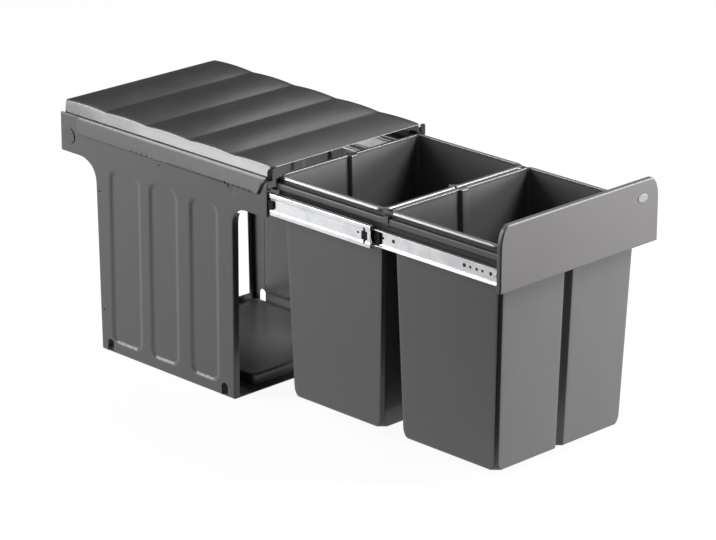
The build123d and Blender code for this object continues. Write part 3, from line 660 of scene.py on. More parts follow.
@dataclass(frozen=True)
class Studio:
    """Floor, world and lamps."""

    floor_half: float = 14.0
    floor_colour: Colour = (0.14, 0.14, 0.14)
    # painted shade: towards the camera the floor's colour falls to this share, for every ray but the
    # camera's
    floor_dim: float = 0.1
    floor_lift: float = 0.93
    dark_toward: Point = (-0.707, -0.707, 0.0)
    dark_from: Flat = (0.62, 0.76)
    world_level: float = 0.045
    sky_from: Flat = (0.36, 0.80)
    lamps: tuple[Lamp, ...] = (
        Lamp("left_softbox", (-1.95, 1.65, 1.15), (0.0, -0.25, 0.35), 1.0, 2.1, 68.0),
        Lamp("right_softbox", (1.95, -2.45, 0.6), (0.0, -0.4, 0.3), 2.0, 0.9, 100.0),
        Lamp("top_softbox", (1.6, -2.1, 2.2), (0.0, -0.4, 0.3), 1.2, 1.2, 88.0),
        Lamp("rear_softbox", (1.40, 0.78, 1.35), (0.0, -0.15, 0.4), 0.9, 0.45, 1.2),
    )

    def floor(self) -> None:
        """Add the pale floor, which shows white where no shadow falls on it, with painted shade towards
        the camera in the light that it throws back and in its reflections.
        """
        shade = Shade("studio_floor")
        camera, glossy, clear = shade.rays()
        where = shade.node("ShaderNodeTexCoord", {}, {}, "Object")
        ahead = shade.node(
            "ShaderNodeVectorMath",
            {"operation": "DOT_PRODUCT"},
            {0: where, 1: self.dark_toward},
            "Value",
        )
        # painted shade on the floor's part towards the camera, which dims its bounced light and its
        # reflections
        lit = 1.0 - ahead.between(*self.dark_from)
        dim = scaled(self.floor_colour, self.floor_dim)
        colour = shade.blend((lit + camera).clamped(), dim, self.floor_colour)
        plain = shade.node("ShaderNodeBsdfDiffuse", {}, {"Color": colour})
        share = (camera + (glossy + clear) * lit).clamped()
        glow = shade.node("ShaderNodeEmission", {}, {"Strength": share * self.floor_lift})
        shade.close(shade.node("ShaderNodeAddShader", {}, {0: plain, 1: glow}))
        mesh = bpy.data.meshes.new("studio_floor")
        shape = bmesh.new()
        bmesh.ops.create_grid(shape, x_segments=2, y_segments=2, size=self.floor_half)
        shape.to_mesh(mesh)
        shape.free()
        mesh.materials.append(shade.owner)
        floor = bpy.data.objects.new("studio_floor", mesh)
        bpy.context.scene.collection.objects.link(floor)

    def world(self) -> None:
        """Light the object softly from all round, and show white behind it."""
        world = bpy.data.worlds.new("studio")
        shade = Shade(world)
        camera, glossy, clear = shade.rays()
        toward = shade.node("ShaderNodeTexCoord", {}, {}, "Generated")
        sky = shade.node("ShaderNodeSeparateXYZ", {}, {0: toward}, 2).between(*self.sky_from)
        share = (camera + (glossy + clear) * sky).clamped()
        plain = {"Color": (1.0, 1.0, 1.0, 1.0)}
        soft = shade.node("ShaderNodeBackground", {}, {"Strength": self.world_level, **plain})
        white = shade.node("ShaderNodeBackground", {}, plain)
        shade.close(shade.node("ShaderNodeMixShader", {}, {0: share, 1: soft, 2: white}))
        bpy.context.scene.world = world

    def build(self) -> None:
        """Add everything that isn't the object."""
        self.floor()
        self.world()
        for lamp in self.lamps:
            lamp.build()


# Meshes


@dataclass(frozen=True)
class Bend:
    """A corner of an outline and the radius that it is rounded with."""

    across: float
    up: float
    radius: float = 0.0


class Run(Enum):
    """Which way a plate's thickness runs: across the object, or along it."""

    ACROSS = "x"
    ALONG = "y"


def eased(share: float) -> float:
    """A share from 0 to 1 that starts and ends softly."""
    held = min(1.0, max(0.0, share))
    return held * held * (3.0 - 2.0 * held)


def quarter(parts: int) -> list[float]:
    """The angles that divide a quarter of a circle into parts."""
    return [math.radians(90.0 * step / parts) for step in range(parts + 1)]


def circle(parts: int) -> list[float]:
    """The angles that divide a circle into parts."""
    return [2.0 * math.pi * step / parts for step in range(parts)]


def rectangle(across: Flat, up: Flat, radius: float) -> list[Bend]:
    """The corners of a rounded rectangle, anticlockwise.

    Args:
        across: Its reach on the first axis.
        up: Its reach on the second axis.
        radius: The corners' radius.

    Returns:
        The corners.
    """
    low, high = up
    near, far = across
    return [Bend(x, y, radius) for x, y in ((near, low), (far, low), (far, high), (near, high))]


def rounded_outline(
    bends: list[Bend], steps: int, spacing: float, counts: list[int] | None = None
) -> tuple[list[Flat], list[int]]:
    """Walk round an outline, with its corners rounded and its edges divided.

    Args:
        bends: The corners, in order.
        steps: How many parts each rounded corner gets.
        spacing: The longest part of a straight edge.
        counts: How many parts each edge gets, to match another outline.

    Returns:
        The points, and the number of parts of each edge.
    """
    arcs = []
    for place, bend in enumerate(bends):
        here = Vector((bend.across, bend.up))
        before, after = bends[place - 1], bends[(place + 1) % len(bends)]
        back = (Vector((before.across, before.up)) - here).normalized()
        ahead = (Vector((after.across, after.up)) - here).normalized()
        half = math.acos(max(-1.0, min(1.0, back.dot(ahead)))) / 2.0
        if bend.radius <= 0.0 or half > STRAIGHT:
            arcs.append([here] * (steps + 1) if bend.radius > 0.0 else [here])
            continue
        reach = bend.radius / math.tan(half)
        middle = here + (back + ahead).normalized() * (bend.radius / math.sin(half))
        start = here + back * reach - middle
        end = here + ahead * reach - middle
        turn = math.atan2(start.x * end.y - start.y * end.x, start.dot(end))
        arcs.append(
            [middle + Matrix.Rotation(turn * step / steps, 2) @ start for step in range(steps + 1)]
        )
    points, used = [], []
    for place, arc in enumerate(arcs):
        points += [(point.x, point.y) for point in arc]
        start, end = arc[-1], arcs[(place + 1) % len(arcs)][0]
        parts = counts[place] if counts else max(1, math.ceil((end - start).length / spacing))
        used.append(parts)
        for part in range(1, parts):
            spot = start.lerp(end, part / parts)
            points.append((spot.x, spot.y))
    return points, used


def drawn_in(points: list[Flat], insets: list[float]) -> list[Flat]:
    """Draw a closed outline in.

    Args:
        points: The outline, walked anticlockwise.
        insets: How far each of its points goes inwards.

    Returns:
        The smaller outline, with as many points.
    """
    drawn = []
    for place, ((across, up), inset) in enumerate(zip(points, insets)):
        before, after = points[place - 1], points[(place + 1) % len(points)]
        along = Vector((after[0] - before[0], after[1] - before[1])).normalized()
        drawn.append((across - along.y * inset, up + along.x * inset))
    return drawn


def softened(low: float, high: float, edge: float) -> list[Flat]:
    """Levels of a plate, and its outline's inset at each, with both ends' edges softened.

    Args:
        low: The plate's first end.
        high: Its other end.
        edge: The size of the softened edges.

    Returns:
        Each level with its inset.
    """
    return [(low, edge), (low + edge, 0.0), (high - edge, 0.0), (high, edge)]


def holds(outline: list[Flat], point: Flat) -> bool:
    """Whether a point lies inside a closed outline.

    Args:
        outline: The outline.
        point: The point.

    Returns:
        True where it does.
    """
    inside = False
    across, up = point
    for place, (x0, y0) in enumerate(outline):
        x1, y1 = outline[place - 1]
        if (y0 > up) != (y1 > up) and across < (x1 - x0) * (up - y0) / (y1 - y0) + x0:
            inside = not inside
    return inside


class Shell:
    """A mesh that is being built, in millimetres."""

    def __init__(self) -> None:
        """Start with nothing."""
        self.points: list[Point] = []
        self.faces: list[tuple[int, ...]] = []

    def ring(self, points: list[Point]) -> list[int]:
        """Add points.

        Args:
            points: The points.

        Returns:
            Their numbers.
        """
        first = len(self.points)
        self.points += [tuple(point) for point in points]
        return list(range(first, len(self.points)))

    def bridge(self, first: list[int], second: list[int], closed: bool = True) -> None:
        """Join two rows of points with quads.

        Args:
            first: One row.
            second: The other row, as long as the first.
            closed: Whether the rows close on themselves.
        """
        count = len(first)
        for place in range(count if closed else count - 1):
            after = (place + 1) % count
            self.faces.append((first[place], first[after], second[after], second[place]))

    def loft(self, rings: list[list[Point]], closed: bool = True) -> list[list[int]]:
        """Add rows of points and join each to the next.

        Args:
            rings: The rows.
            closed: Whether each row closes on itself.

        Returns:
            The numbers of the rows' points.
        """
        rows = [self.ring(points) for points in rings]
        for first, second in zip(rows, rows[1:]):
            self.bridge(first, second, closed)
        return rows

    def solid(self, rings: list[list[Point]]) -> None:
        """Add rings of points, each joined to the next, with a face over both ends."""
        rows = self.loft(rings)
        self.faces += [tuple(rows[0]), tuple(rows[-1])]

    def plate(self, outline: list[Flat], levels: list[Flat], run: Run, side: int = 1) -> None:
        """Add a plate of one outline, which may be drawn in near its ends.

        Args:
            outline: The outline, walked anticlockwise.
            levels: The levels of its thickness, each with the outline's inset there.
            run: The way that the thickness runs.
            side: -1 to mirror it to the other side of the object.
        """
        rings = []
        for level, inset in levels:
            drawn = drawn_in(outline, [inset] * len(outline))
            if run is Run.ACROSS:
                rings.append([(side * level, y, z) for y, z in drawn])
            else:
                rings.append([(side * x, level, z) for x, z in drawn])
        self.solid(rings)

    def piece(
        self, name: str, body: str, slot: str, finish: bpy.types.Material, sharp: float = 32.0
    ) -> bpy.types.Object:
        """Make the object, with its finish, on the body that it rides.

        Args:
            name: The object's name.
            body: The frame's body.
            slot: The record's material slot; not used.
            finish: The material.
            sharp: The angle over which an edge stays sharp, in degrees.

        Returns:
            The object.
        """
        mesh = bpy.data.meshes.new(name)
        mesh.from_pydata([Vector(point) * MM for point in self.points], [], self.faces)
        shape = bmesh.new()
        shape.from_mesh(mesh)
        bmesh.ops.remove_doubles(shape, verts=shape.verts, dist=WELD)
        bmesh.ops.recalc_face_normals(shape, faces=shape.faces)
        shape.to_mesh(mesh)
        shape.free()
        mesh.polygons.foreach_set("use_smooth", [True] * len(mesh.polygons))
        mesh.set_sharp_from_angle(angle=math.radians(sharp))
        mesh.materials.append(finish)
        piece = bpy.data.objects.new(name, mesh)
        bpy.context.scene.collection.objects.link(piece)
        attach(piece, body)
        LOG.info("%s: %d faces on %s", name, len(mesh.polygons), body)
        return piece


Net = tuple[list[Flat], list[tuple[int, ...]]]
Layout = tuple[list[Flat], list[Flat], list[list[Flat]]]


@dataclass
class SidePanels:
    """The two folded side panels, with pressed pads and a leaning top strip."""

    materials: dict[str, bpy.types.Material]
    sheet: float = 1.5
    face: float = 173.0
    foot_front: float = -160.0
    foot_rear: float = 160.0
    foot_lean: float = 8.0
    band_bottom: float = 324.0
    front_arc: float = 27.0
    rear_arc: float = 38.0
    corner: float = 3.0
    flange: float = 12.0
    flange_top: float = 316.0
    fold: float = 2.0
    edge: float = 0.55
    hem: float = 1.45
    hem_depth: float = 3.0
    hem_rear: float = 20.0
    top_reach: float = 0.5
    slot_half: float = 7.25
    slot_top: float = 22.0
    slot_inset: float = 22.0
    slot_mouth: float = 0.4
    slot_play: float = 0.05
    slot_margin: float = 0.3
    pads: tuple[Flat, ...] = ((-91.5, 67.8), (4.2, 69.1), (96.6, 75.5))
    pad_low: float = 17.0
    pad_high: float = 319.0
    pad_round: float = 17.0
    pad_depth: float = 2.5
    pad_shoulder: float = 7.0
    pad_rows: tuple[float, ...] = (0.0, 2.5, 5.0, 7.5)
    pad_spacing: float = 5.0
    strip_low: float = 360.0
    strip_slant: float = 19.0
    strip_rear: float = 210.0
    strip_top_rise: float = 0.5
    strip_low_rise: float = 2.3
    strip_front_rise: float = 2.0
    strip_step: float = 1.6
    strip_rows: tuple[float, ...] = (-3.2, -2.2, -1.5, -0.8, -0.3, 0.3, 0.8)
    seam_half: float = 1.5
    seam_depth: float = 1.25
    seam_width: float = 1.2
    seam_start: float = 3.0
    low_hole: Flat = (153.2, 70.6)
    small_holes: tuple[Flat, ...] = ((158.3, 273.8), (12.4, 352.0))
    small_hole: float = 1.9
    small_parts: int = 12
    pivot: Flat = (231.7, 352.0)
    pivot_hole: float = 9.1
    pivot_parts: int = 32
    notch: Flat = (-148.8, 358.0)
    notch_length: float = 14.0
    notch_width: float = 4.0
    notch_angle: float = 48.0
    notch_round: float = 0.98
    notch_parts: int = 4
    dimple: Flat = (-160.0, 349.0)
    dimple_half: float = 5.5
    dimple_depth: float = 0.7
    dimple_ease: float = 1.3
    arc_parts: int = 6
    edge_parts: int = 4
    grid: float = 4.0
    cell: float = 1.2
    row_gap: float = 0.9
    grid_gap: float = 2.0
    rear: float = field(init=False)
    front: float = field(init=False)
    top: float = field(init=False)

    def __post_init__(self) -> None:
        """Take the panel's reach from the frame."""
        low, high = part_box("left_side_panel")
        self.front, self.rear, self.top = low.y / MM, high.y / MM, high.z / MM

    def slots(self) -> Flat:
        """The middles of the two slots in the foot."""
        return self.foot_front + self.slot_inset, self.foot_rear - self.slot_inset

    def bends(self) -> list[Bend]:
        """The corners of the panel's outline.

        Returns:
            The corners, anticlockwise from the foot's front.
        """
        corners = [Bend(self.foot_front, 0.0, self.corner)]
        crown = self.slot_half - self.slot_play
        for middle in self.slots():
            near, far = middle - self.slot_half, middle + self.slot_half
            corners += [
                Bend(near, 0.0, self.slot_mouth),
                Bend(near, self.slot_top, crown),
                Bend(far, self.slot_top, crown),
                Bend(far, 0.0, self.slot_mouth),
            ]
        return corners + [
            Bend(self.foot_rear, 0.0, self.corner),
            Bend(self.foot_rear + self.foot_lean, self.band_bottom, self.rear_arc),
            Bend(self.rear, self.band_bottom, self.corner),
            Bend(self.rear, self.top, self.corner),
            Bend(self.front, self.top, self.corner),
            Bend(self.front, self.band_bottom, self.corner),
            Bend(self.foot_front, self.band_bottom, self.front_arc),
        ]

    def pad_height(self, y: float, z: float) -> float:
        """How far the pressed pads lie behind the face.

        Args:
            y: The place along the panel.
            z: The height.

        Returns:
            The depth, as a negative height.
        """
        deepest = 0.0
        middle_z, half_z = (self.pad_low + self.pad_high) / 2.0, (self.pad_high - self.pad_low) / 2.0
        for middle, width in self.pads:
            over_y = abs(y - middle) - (width / 2.0 - self.pad_round)
            over_z = abs(z - middle_z) - (half_z - self.pad_round)
            outside = math.hypot(max(over_y, 0.0), max(over_z, 0.0)) + min(max(over_y, over_z), 0.0)
            depth = self.pad_round - outside
            deepest = max(deepest, self.pad_depth * eased(depth / self.pad_shoulder))
        return -deepest

    def strip_height(self, y: float, z: float) -> float:
        """How far the leaning strip stands out.

        Args:
            y: The place along the panel.
            z: The height.

        Returns:
            The strip's relief, with the seam before its slanted end.
        """
        up = (z - self.strip_low) / (self.top - self.strip_low)
        slant = self.front + self.strip_slant * (1.0 - up)
        within = min(z - self.strip_low, y - slant, self.strip_rear - y)
        ahead = (self.strip_rear - y) / (self.strip_rear - self.front)
        low = self.strip_low_rise + self.strip_front_rise * min(1.0, max(0.0, ahead))
        rise = low + (self.strip_top_rise - low) * max(0.0, up)
        seam = eased(self.seam_width - abs(y - slant + self.seam_half) / self.seam_half)
        seam *= eased((z - self.strip_low) / self.seam_start + 1.0)
        return rise * eased(within / self.strip_step + 0.5) - self.seam_depth * seam

    def dimple_height(self, y: float, z: float) -> float:
        """How far the dimple under the strip goes in at a place."""
        away = math.hypot(y - self.dimple[0], z - self.dimple[1])
        return -self.dimple_depth * eased(self.dimple_ease - away / self.dimple_half)

    def height(self, y: float, z: float) -> float:
        """The outer face's relief at a place."""
        return self.pad_height(y, z) + self.strip_height(y, z) + self.dimple_height(y, z)

    def holes(self, side: int) -> list[list[Flat]]:
        """The round holes and the slanted slot of one panel.

        Args:
            side: -1 for the left panel, 1 for the right one.

        Returns:
            Their outlines.
        """
        places = self.small_holes + ((self.low_hole,) if side < 0 else ())
        circles = [(place, self.small_hole, self.small_parts) for place in places]
        circles.append((self.pivot, self.pivot_hole, self.pivot_parts))
        loops = [
            [(y + radius * math.cos(turn), z + radius * math.sin(turn)) for turn in circle(parts)]
            for (y, z), radius, parts in circles
        ]
        half, reach = self.notch_width / 2.0, self.notch_length / 2.0
        box = rectangle((-reach, reach), (-half, half), half * self.notch_round)
        spin = Matrix.Rotation(math.radians(self.notch_angle), 2)
        slot, _ = rounded_outline(box, self.notch_parts, self.grid)
        turned = [spin @ Vector(point) for point in slot]
        loops.append([(point.x + self.notch[0], point.y + self.notch[1]) for point in turned])
        return loops

    def feature_rows(self) -> list[Flat]:
        """Rows of points that follow the relief.

        Returns:
            The points along the pads' shoulders and the strip's steps.
        """
        spots = []
        for inset in self.pad_rows:
            up = (self.pad_low + inset, self.pad_high - inset)
            for middle, width in self.pads:
                half = width / 2.0 - inset
                bends = rectangle((middle - half, middle + half), up, self.pad_round - inset)
                spots += rounded_outline(bends, self.arc_parts, self.pad_spacing)[0]
        for shift in self.strip_rows:
            front = self.front + self.strip_slant + shift
            rear, low = self.strip_rear - shift, self.strip_low + shift
            count = int((rear - front) / self.grid)
            spots += [(front + (rear - front) * step / count, low) for step in range(count + 1)]
            rows = int((self.top - low) / self.grid)
            for step in range(1, rows):
                share = step / rows
                z = low + (self.top - low) * share
                spots.append((self.front + self.strip_slant * (1.0 - share) + shift, z))
                spots.append((rear, z))
        return spots

    def layout(self, side: int) -> Layout:
        """Lay out the face of one panel.

        Args:
            side: -1 for the left panel, 1 for the right one.

        Returns:
            The outline, the face's own border inside its rounded edge, and the holes.
        """
        outline, _ = rounded_outline(self.bends(), self.arc_parts, self.grid)
        border = drawn_in(outline, [self.edge_of(y, z) for y, z in outline])
        return outline, border, self.holes(side)

    def in_slot(self, y: float, z: float) -> bool:
        """Whether a place on the outline is part of a foot slot's edge."""
        reach = self.slot_half + self.slot_margin
        return z > self.slot_margin and any(abs(y - middle) < reach for middle in self.slots())

    def flanged(self, y: float, z: float) -> bool:
        """Whether the sheet is folded inwards at a place on the outline."""
        return z < self.flange_top and not self.in_slot(y, z)

    def edge_of(self, y: float, z: float) -> float:
        """The radius of the outer edge.

        Args:
            y: The place along the outline.
            z: Its height.

        Returns:
            The radius.
        """
        if z > self.top - self.top_reach:
            return self.hem
        return self.fold if self.flanged(y, z) else self.edge

    def depth_of(self, y: float, z: float) -> float:
        """How far the sheet reaches inwards.

        Args:
            y: The place along the outline.
            z: Its height.

        Returns:
            The depth.
        """
        if z > self.top - self.top_reach and y < self.rear - self.hem_rear:
            return self.hem_depth
        return self.flange if self.flanged(y, z) else self.sheet

    def fill(self, border: list[Flat], loops: list[list[Flat]]) -> list[Flat]:
        """Points spread over the face, finer along its relief.

        Args:
            border: The face's border.
            loops: The holes.

        Returns:
            The points that lie on the face and keep off its edges.
        """
        rims = np.array(border + [spot for loop in loops for spot in loop])
        steps_y = int((self.rear - self.front) / self.grid)
        steps_z = int(self.top / self.grid)
        even = [
            (self.front + self.grid * (step_y + 0.5 * (step_z % 2)), self.grid * step_z)
            for step_y in range(steps_y + 1)
            for step_z in range(steps_z + 1)
        ]
        kept: list[Flat] = []
        taken: set[tuple[int, int]] = set()
        for spots, gap in ((self.feature_rows(), self.row_gap), (even, self.grid_gap)):
            for y, z in spots:
                cell = (round(y / self.cell), round(z / self.cell))
                if cell in taken or np.min(np.hypot(rims[:, 0] - y, rims[:, 1] - z)) < gap:
                    continue
                if holds(border, (y, z)) and not any(holds(loop, (y, z)) for loop in loops):
                    taken.add(cell)
                    kept.append((y, z))
        return kept

    def triangles(self, border: list[Flat], loops: list[list[Flat]]) -> Net:
        """Divide the face into triangles between its border and its holes.

        Args:
            border: The face's border.
            loops: The holes.

        Returns:
            The points, border first and then the holes', and the triangles.
        """
        spots: list[Flat] = []
        edges = []
        for loop in [border] + loops:
            first, count = len(spots), len(loop)
            spots += loop
            edges += [(first + place, first + (place + 1) % count) for place in range(count)]
        spots += self.fill(border, loops)
        corners = [Vector(spot) for spot in spots]
        found, _, faces, *_ = delaunay_2d_cdt(corners, edges, [], 0, SNAP)
        flats = [(point.x, point.y) for point in found]
        inside = []
        for face in faces:
            y = sum(flats[corner][0] for corner in face) / len(face)
            z = sum(flats[corner][1] for corner in face) / len(face)
            if holds(border, (y, z)) and not any(holds(loop, (y, z)) for loop in loops):
                inside.append(tuple(face))
        return flats, inside

    def fold_rows(self, outline: list[Flat]) -> list[list[Point]]:
        """Rows of points from the face's border round its edge to the sheet's inner face.

        Args:
            outline: The panel's outline.

        Returns:
            The rows of the right panel.
        """
        edges = [self.edge_of(y, z) for y, z in outline]
        depths = [self.depth_of(y, z) for y, z in outline]
        rows = []
        for turn in quarter(self.edge_parts)[1:]:
            drawn = drawn_in(outline, [edge * (1.0 - math.sin(turn)) for edge in edges])
            rows.append([
                (self.face + self.height(y, z) - edge * (1.0 - math.cos(turn)), *spot)
                for (y, z), edge, spot in zip(outline, edges, drawn)
            ])
        for inset in (0.0, self.sheet):
            drawn = drawn_in(outline, [
                inset if depth > self.sheet else min(inset, edge) * 0.5
                for edge, depth in zip(edges, depths)
            ])
            rows.append([(self.face - depth, *spot) for depth, spot in zip(depths, drawn)])
        return rows

    def shell(self, side: int, layout: Layout, net: Net) -> Shell:
        """Build one panel from its face's net.

        Args:
            side: -1 for the left panel, 1 for the right one.
            layout: The outline, border and holes.
            net: The face's points and triangles.

        Returns:
            The panel's shell.
        """
        outline, border, loops = layout
        flats, faces = net
        shell = Shell()
        back = self.face - self.sheet
        outer = shell.ring([(side * (self.face + self.height(y, z)), y, z) for y, z in flats])
        inner = shell.ring([(side * (back + self.pad_height(y, z)), y, z) for y, z in flats])
        for skin in (outer, inner):
            shell.faces += [tuple(skin[corner] for corner in face) for face in faces]
        folds = [shell.ring([(side * x, y, z) for x, y, z in row]) for row in self.fold_rows(outline)]
        rows = [outer[: len(border)], *folds, inner[: len(border)]]
        for first, second in zip(rows, rows[1:]):
            shell.bridge(first, second)
        start = len(border)
        for loop in loops:
            end = start + len(loop)
            shell.bridge(outer[start:end], inner[start:end])
            start = end
        return shell

    def build(self) -> None:
        """Build both panels over their solids."""
        for name, side in (("left", -1), ("right", 1)):
            layout = self.layout(side)
            shell = self.shell(side, layout, self.triangles(layout[1], layout[2]))
            piece = shell.piece(
                f"{name}_panel_sheet", "housing", "housing_paint", self.materials["housing_paint"]
            )
            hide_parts(f"{name}_side_panel")


@dataclass
class Lid:
    """The ribbed cover, with leaning side flanges and a rolled front edge."""

    materials: dict[str, bpy.types.Material]
    sheet: float = 1.2
    half: float = 168.6
    rear_lean: float = 2.7
    front_lean: float = 5.2
    shoulder: float = 3.0
    flange_low: float = 386.0
    lip_low: float = 399.6
    rear_skirt: float = 380.0
    base: float = 390.0
    rear_height: float = 19.6
    front_height: float = 14.8
    crest: float = 3.2
    side_crest: float = 2.3
    rib: float = 99.7
    ribs: int = 3
    rear_rib: float = 96.5
    front_crest: float = 1.6
    front_rise: float = 0.8
    corner: float = 7.0
    nose: float = 1.3
    nose_parts: int = 6
    nose_rows: tuple[float, ...] = (1.0, 2.2, 3.6)
    valley: float = 1.6
    valley_lift: float = 0.22
    valley_rows: Flat = (0.8, 1.8)
    spacing: float = 4.0
    lip_reach: float = 5.0
    flange_rows: tuple[float, ...] = (0.0, 0.35, 0.7, 1.0)
    shoulder_parts: int = 5
    half_parts: int = 12
    crown_ease: float = 3.0
    sharp: float = 40.0
    soft: float = 0.3
    skirt_drop: float = 0.4
    skirt_play: float = 0.3
    skirt_corner: float = 1.5
    skirt_parts: int = 4
    skirt_spacing: float = 60.0
    ear_inner: float = 166.3
    ear_outer: float = 168.3
    ear_parts: int = 6
    ear_spacing: float = 8.0
    ear_corners: tuple[Bend, ...] = (
        Bend(220.0, 340.0, 9.0),
        Bend(243.7, 340.0, 11.0),
        Bend(243.7, 388.0, 0.6),
        Bend(204.0, 388.0, 0.6),
    )
    tab_soft: float = 0.35
    tab_parts: int = 5
    tab_spacing: float = 8.0
    tab_corners: tuple[Bend, ...] = (
        Bend(164.0, 384.0, 1.0),
        Bend(174.5, 384.0, 2.5),
        Bend(174.5, 404.0, 4.5),
        Bend(164.0, 404.0, 0.5),
    )
    front: float = field(init=False)
    rear: float = field(init=False)

    def __post_init__(self) -> None:
        """Take the cover's reach from the frame."""
        low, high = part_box("lid_cover")
        self.front, self.rear = low.y / MM, high.y / MM

    def valley_z(self, y: float) -> float:
        """Height of the valleys at a place along the cover."""
        slope = (self.rear_height - self.front_height) / (self.rear - self.front)
        return self.base + self.front_height + slope * (y - self.front)

    def valleys(self) -> list[float]:
        """Places of the valleys between the ribs, from the rear."""
        return [self.rear - self.rear_rib - rib * self.rib for rib in range(self.ribs + 1)]

    def top_z(self, y: float, aside: float = 0.0) -> float:
        """Height of the cover's top.

        Args:
            y: The place along the cover.
            aside: How near the side is, from 0 in the middle to 1 at the side.

        Returns:
            The height.
        """
        crest = self.crest + (self.side_crest - self.crest) * aside
        stops = [self.rear] + self.valleys() + [self.front]
        for far, near in zip(stops, stops[1:]):
            if near <= y <= far:
                share = (y - near) / (far - near)
                height = self.front_crest if near == self.front else crest
                rise = self.front_rise * eased(1.0 - share) if near == self.front else 0.0
                ahead = y - near if near > self.front else math.inf
                behind = far - y if far < self.rear else math.inf
                lift = self.valley_lift * (1.0 - eased(min(ahead, behind) / self.valley))
                return self.valley_z(y) + height * 4.0 * share * (1.0 - share) + rise + lift
        return self.valley_z(y)

    def stations(self) -> list[float]:
        """Places along the cover at which its section is drawn.

        Returns:
            The places, from the front.
        """
        turns = quarter(self.nose_parts)
        nose = [self.front + self.nose * (1.0 - math.cos(turn)) for turn in turns]
        corner = [self.front + self.nose + row for row in self.nose_rows]
        stops = [corner[-1]] + self.valleys()[::-1] + [self.rear]
        body = []
        for near, far in zip(stops, stops[1:]):
            spread = far - near
            count = int(spread / self.spacing)
            steps = [spread * step / count for step in range(1, count)]
            steps += [place for row in self.valley_rows for place in (row, spread - row)]
            body += [near + step for step in sorted(steps)] + [far]
        return nose + corner + body

    def section(self, y: float, inset: float) -> list[Point]:
        """The cover's section at a place along it.

        Args:
            y: The place.
            inset: How far it is drawn in, for the cover's inside.

        Returns:
            The points from the left flange's foot to the right one's.
        """
        ahead = y - self.front
        plan = max(0.0, self.corner - ahead)
        half = self.half - self.corner + math.sqrt(max(0.0, self.corner**2 - plan**2)) - inset
        drop = max(0.0, self.nose - ahead)
        sink = self.nose - math.sqrt(max(0.0, self.nose**2 - drop**2))
        middle, top = (self.top_z(y, aside) - inset - sink for aside in (0.0, 1.0))
        lip = (self.lip_low - self.flange_low) * (1.0 - eased(ahead / self.lip_reach))
        low = self.flange_low + lip
        radius = self.shoulder - inset * 0.5
        height = top - radius - low
        lean = self.front_lean + (self.rear_lean - self.front_lean) * ahead / (self.rear - self.front)
        side = [(half - lean * share, low + height * share) for share in self.flange_rows]
        edge_x = half - lean
        for turn in quarter(self.shoulder_parts)[1:]:
            across, down = radius * (1.0 - math.cos(turn)), radius * (1.0 - math.sin(turn))
            side.append((edge_x - across, top - down))
        reach = edge_x - radius
        for step in range(1, self.half_parts):
            share = step / self.half_parts
            rise = (middle - top) * eased(share * self.crown_ease)
            side.append((reach * (1.0 - share), top + rise))
        left = [(-x, y, z) for x, z in side]
        right = [(x, y, z) for x, z in reversed(side)]
        return left + [(0.0, y, middle)] + right

    def cover(self) -> None:
        """Build the cover over its solid."""
        places = self.stations()
        shell = Shell()
        within = [max(y, self.front + self.sheet) for y in places]
        outer = shell.loft([self.section(y, 0.0) for y in places], closed=False)
        inner = shell.loft([self.section(y, self.sheet) for y in within], closed=False)
        shell.bridge(outer[0], inner[0], closed=False)
        shell.bridge(outer[-1], inner[-1], closed=False)
        for side in (0, -1):
            shell.bridge([row[side] for row in outer], [row[side] for row in inner], closed=False)
        self.rear_flange(shell)
        piece = shell.piece("lid_sheet", "lid", "lid_paint", self.materials["lid_paint"], self.sharp)
        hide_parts("lid_cover")
        for name, side in (("left", -1), ("right", 1)):
            self.tab(name, side)

    def rear_flange(self, shell: Shell) -> None:
        """Add the flange that hangs from the cover's rear edge.

        Args:
            shell: The cover's shell.
        """
        top, low = self.top_z(self.rear) - self.skirt_drop, self.rear_skirt
        half = self.half - self.skirt_play
        corners = [
            Bend(-half, low, self.skirt_corner),
            Bend(half, low, self.skirt_corner),
            Bend(half - self.rear_lean, top, self.shoulder),
            Bend(self.rear_lean - half, top, self.shoulder),
        ]
        outline, _ = rounded_outline(corners, self.skirt_parts, self.skirt_spacing)
        levels = [
            (self.rear - self.sheet, 0.0),
            (self.rear - self.soft, 0.0),
            (self.rear, self.soft),
        ]
        shell.plate(outline, levels, Run.ALONG)

    def ears(self) -> None:
        """Build the two plates that carry the lid's pins."""
        outline, _ = rounded_outline(list(self.ear_corners), self.ear_parts, self.ear_spacing)
        levels = softened(self.ear_inner, self.ear_outer, self.soft)
        shell = Shell()
        for side in (-1, 1):
            shell.plate(outline, levels, Run.ACROSS, side)
        piece = shell.piece("lid_ear_plates", "lid", "housing_paint", self.materials["housing_paint"])
        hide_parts("lid_ears")

    def tab(self, name: str, side: int) -> None:
        """Build the black cap over the front end of one panel's top edge.

        Args:
            name: The side's name.
            side: -1 for the left cap, 1 for the right one.
        """
        outline, _ = rounded_outline(list(self.tab_corners), self.tab_parts, self.tab_spacing)
        levels = [
            (self.front + self.sheet, 0.0),
            (self.front + self.tab_soft, 0.0),
            (self.front, self.tab_soft),
        ]
        shell = Shell()
        shell.plate(outline, levels, Run.ALONG, side)
        shell.piece(f"{name}_lid_cap", "lid", "black_plastic", self.materials["black_plastic"])

    def build(self) -> None:
        """Build the lid."""
        self.cover()
        self.ears()


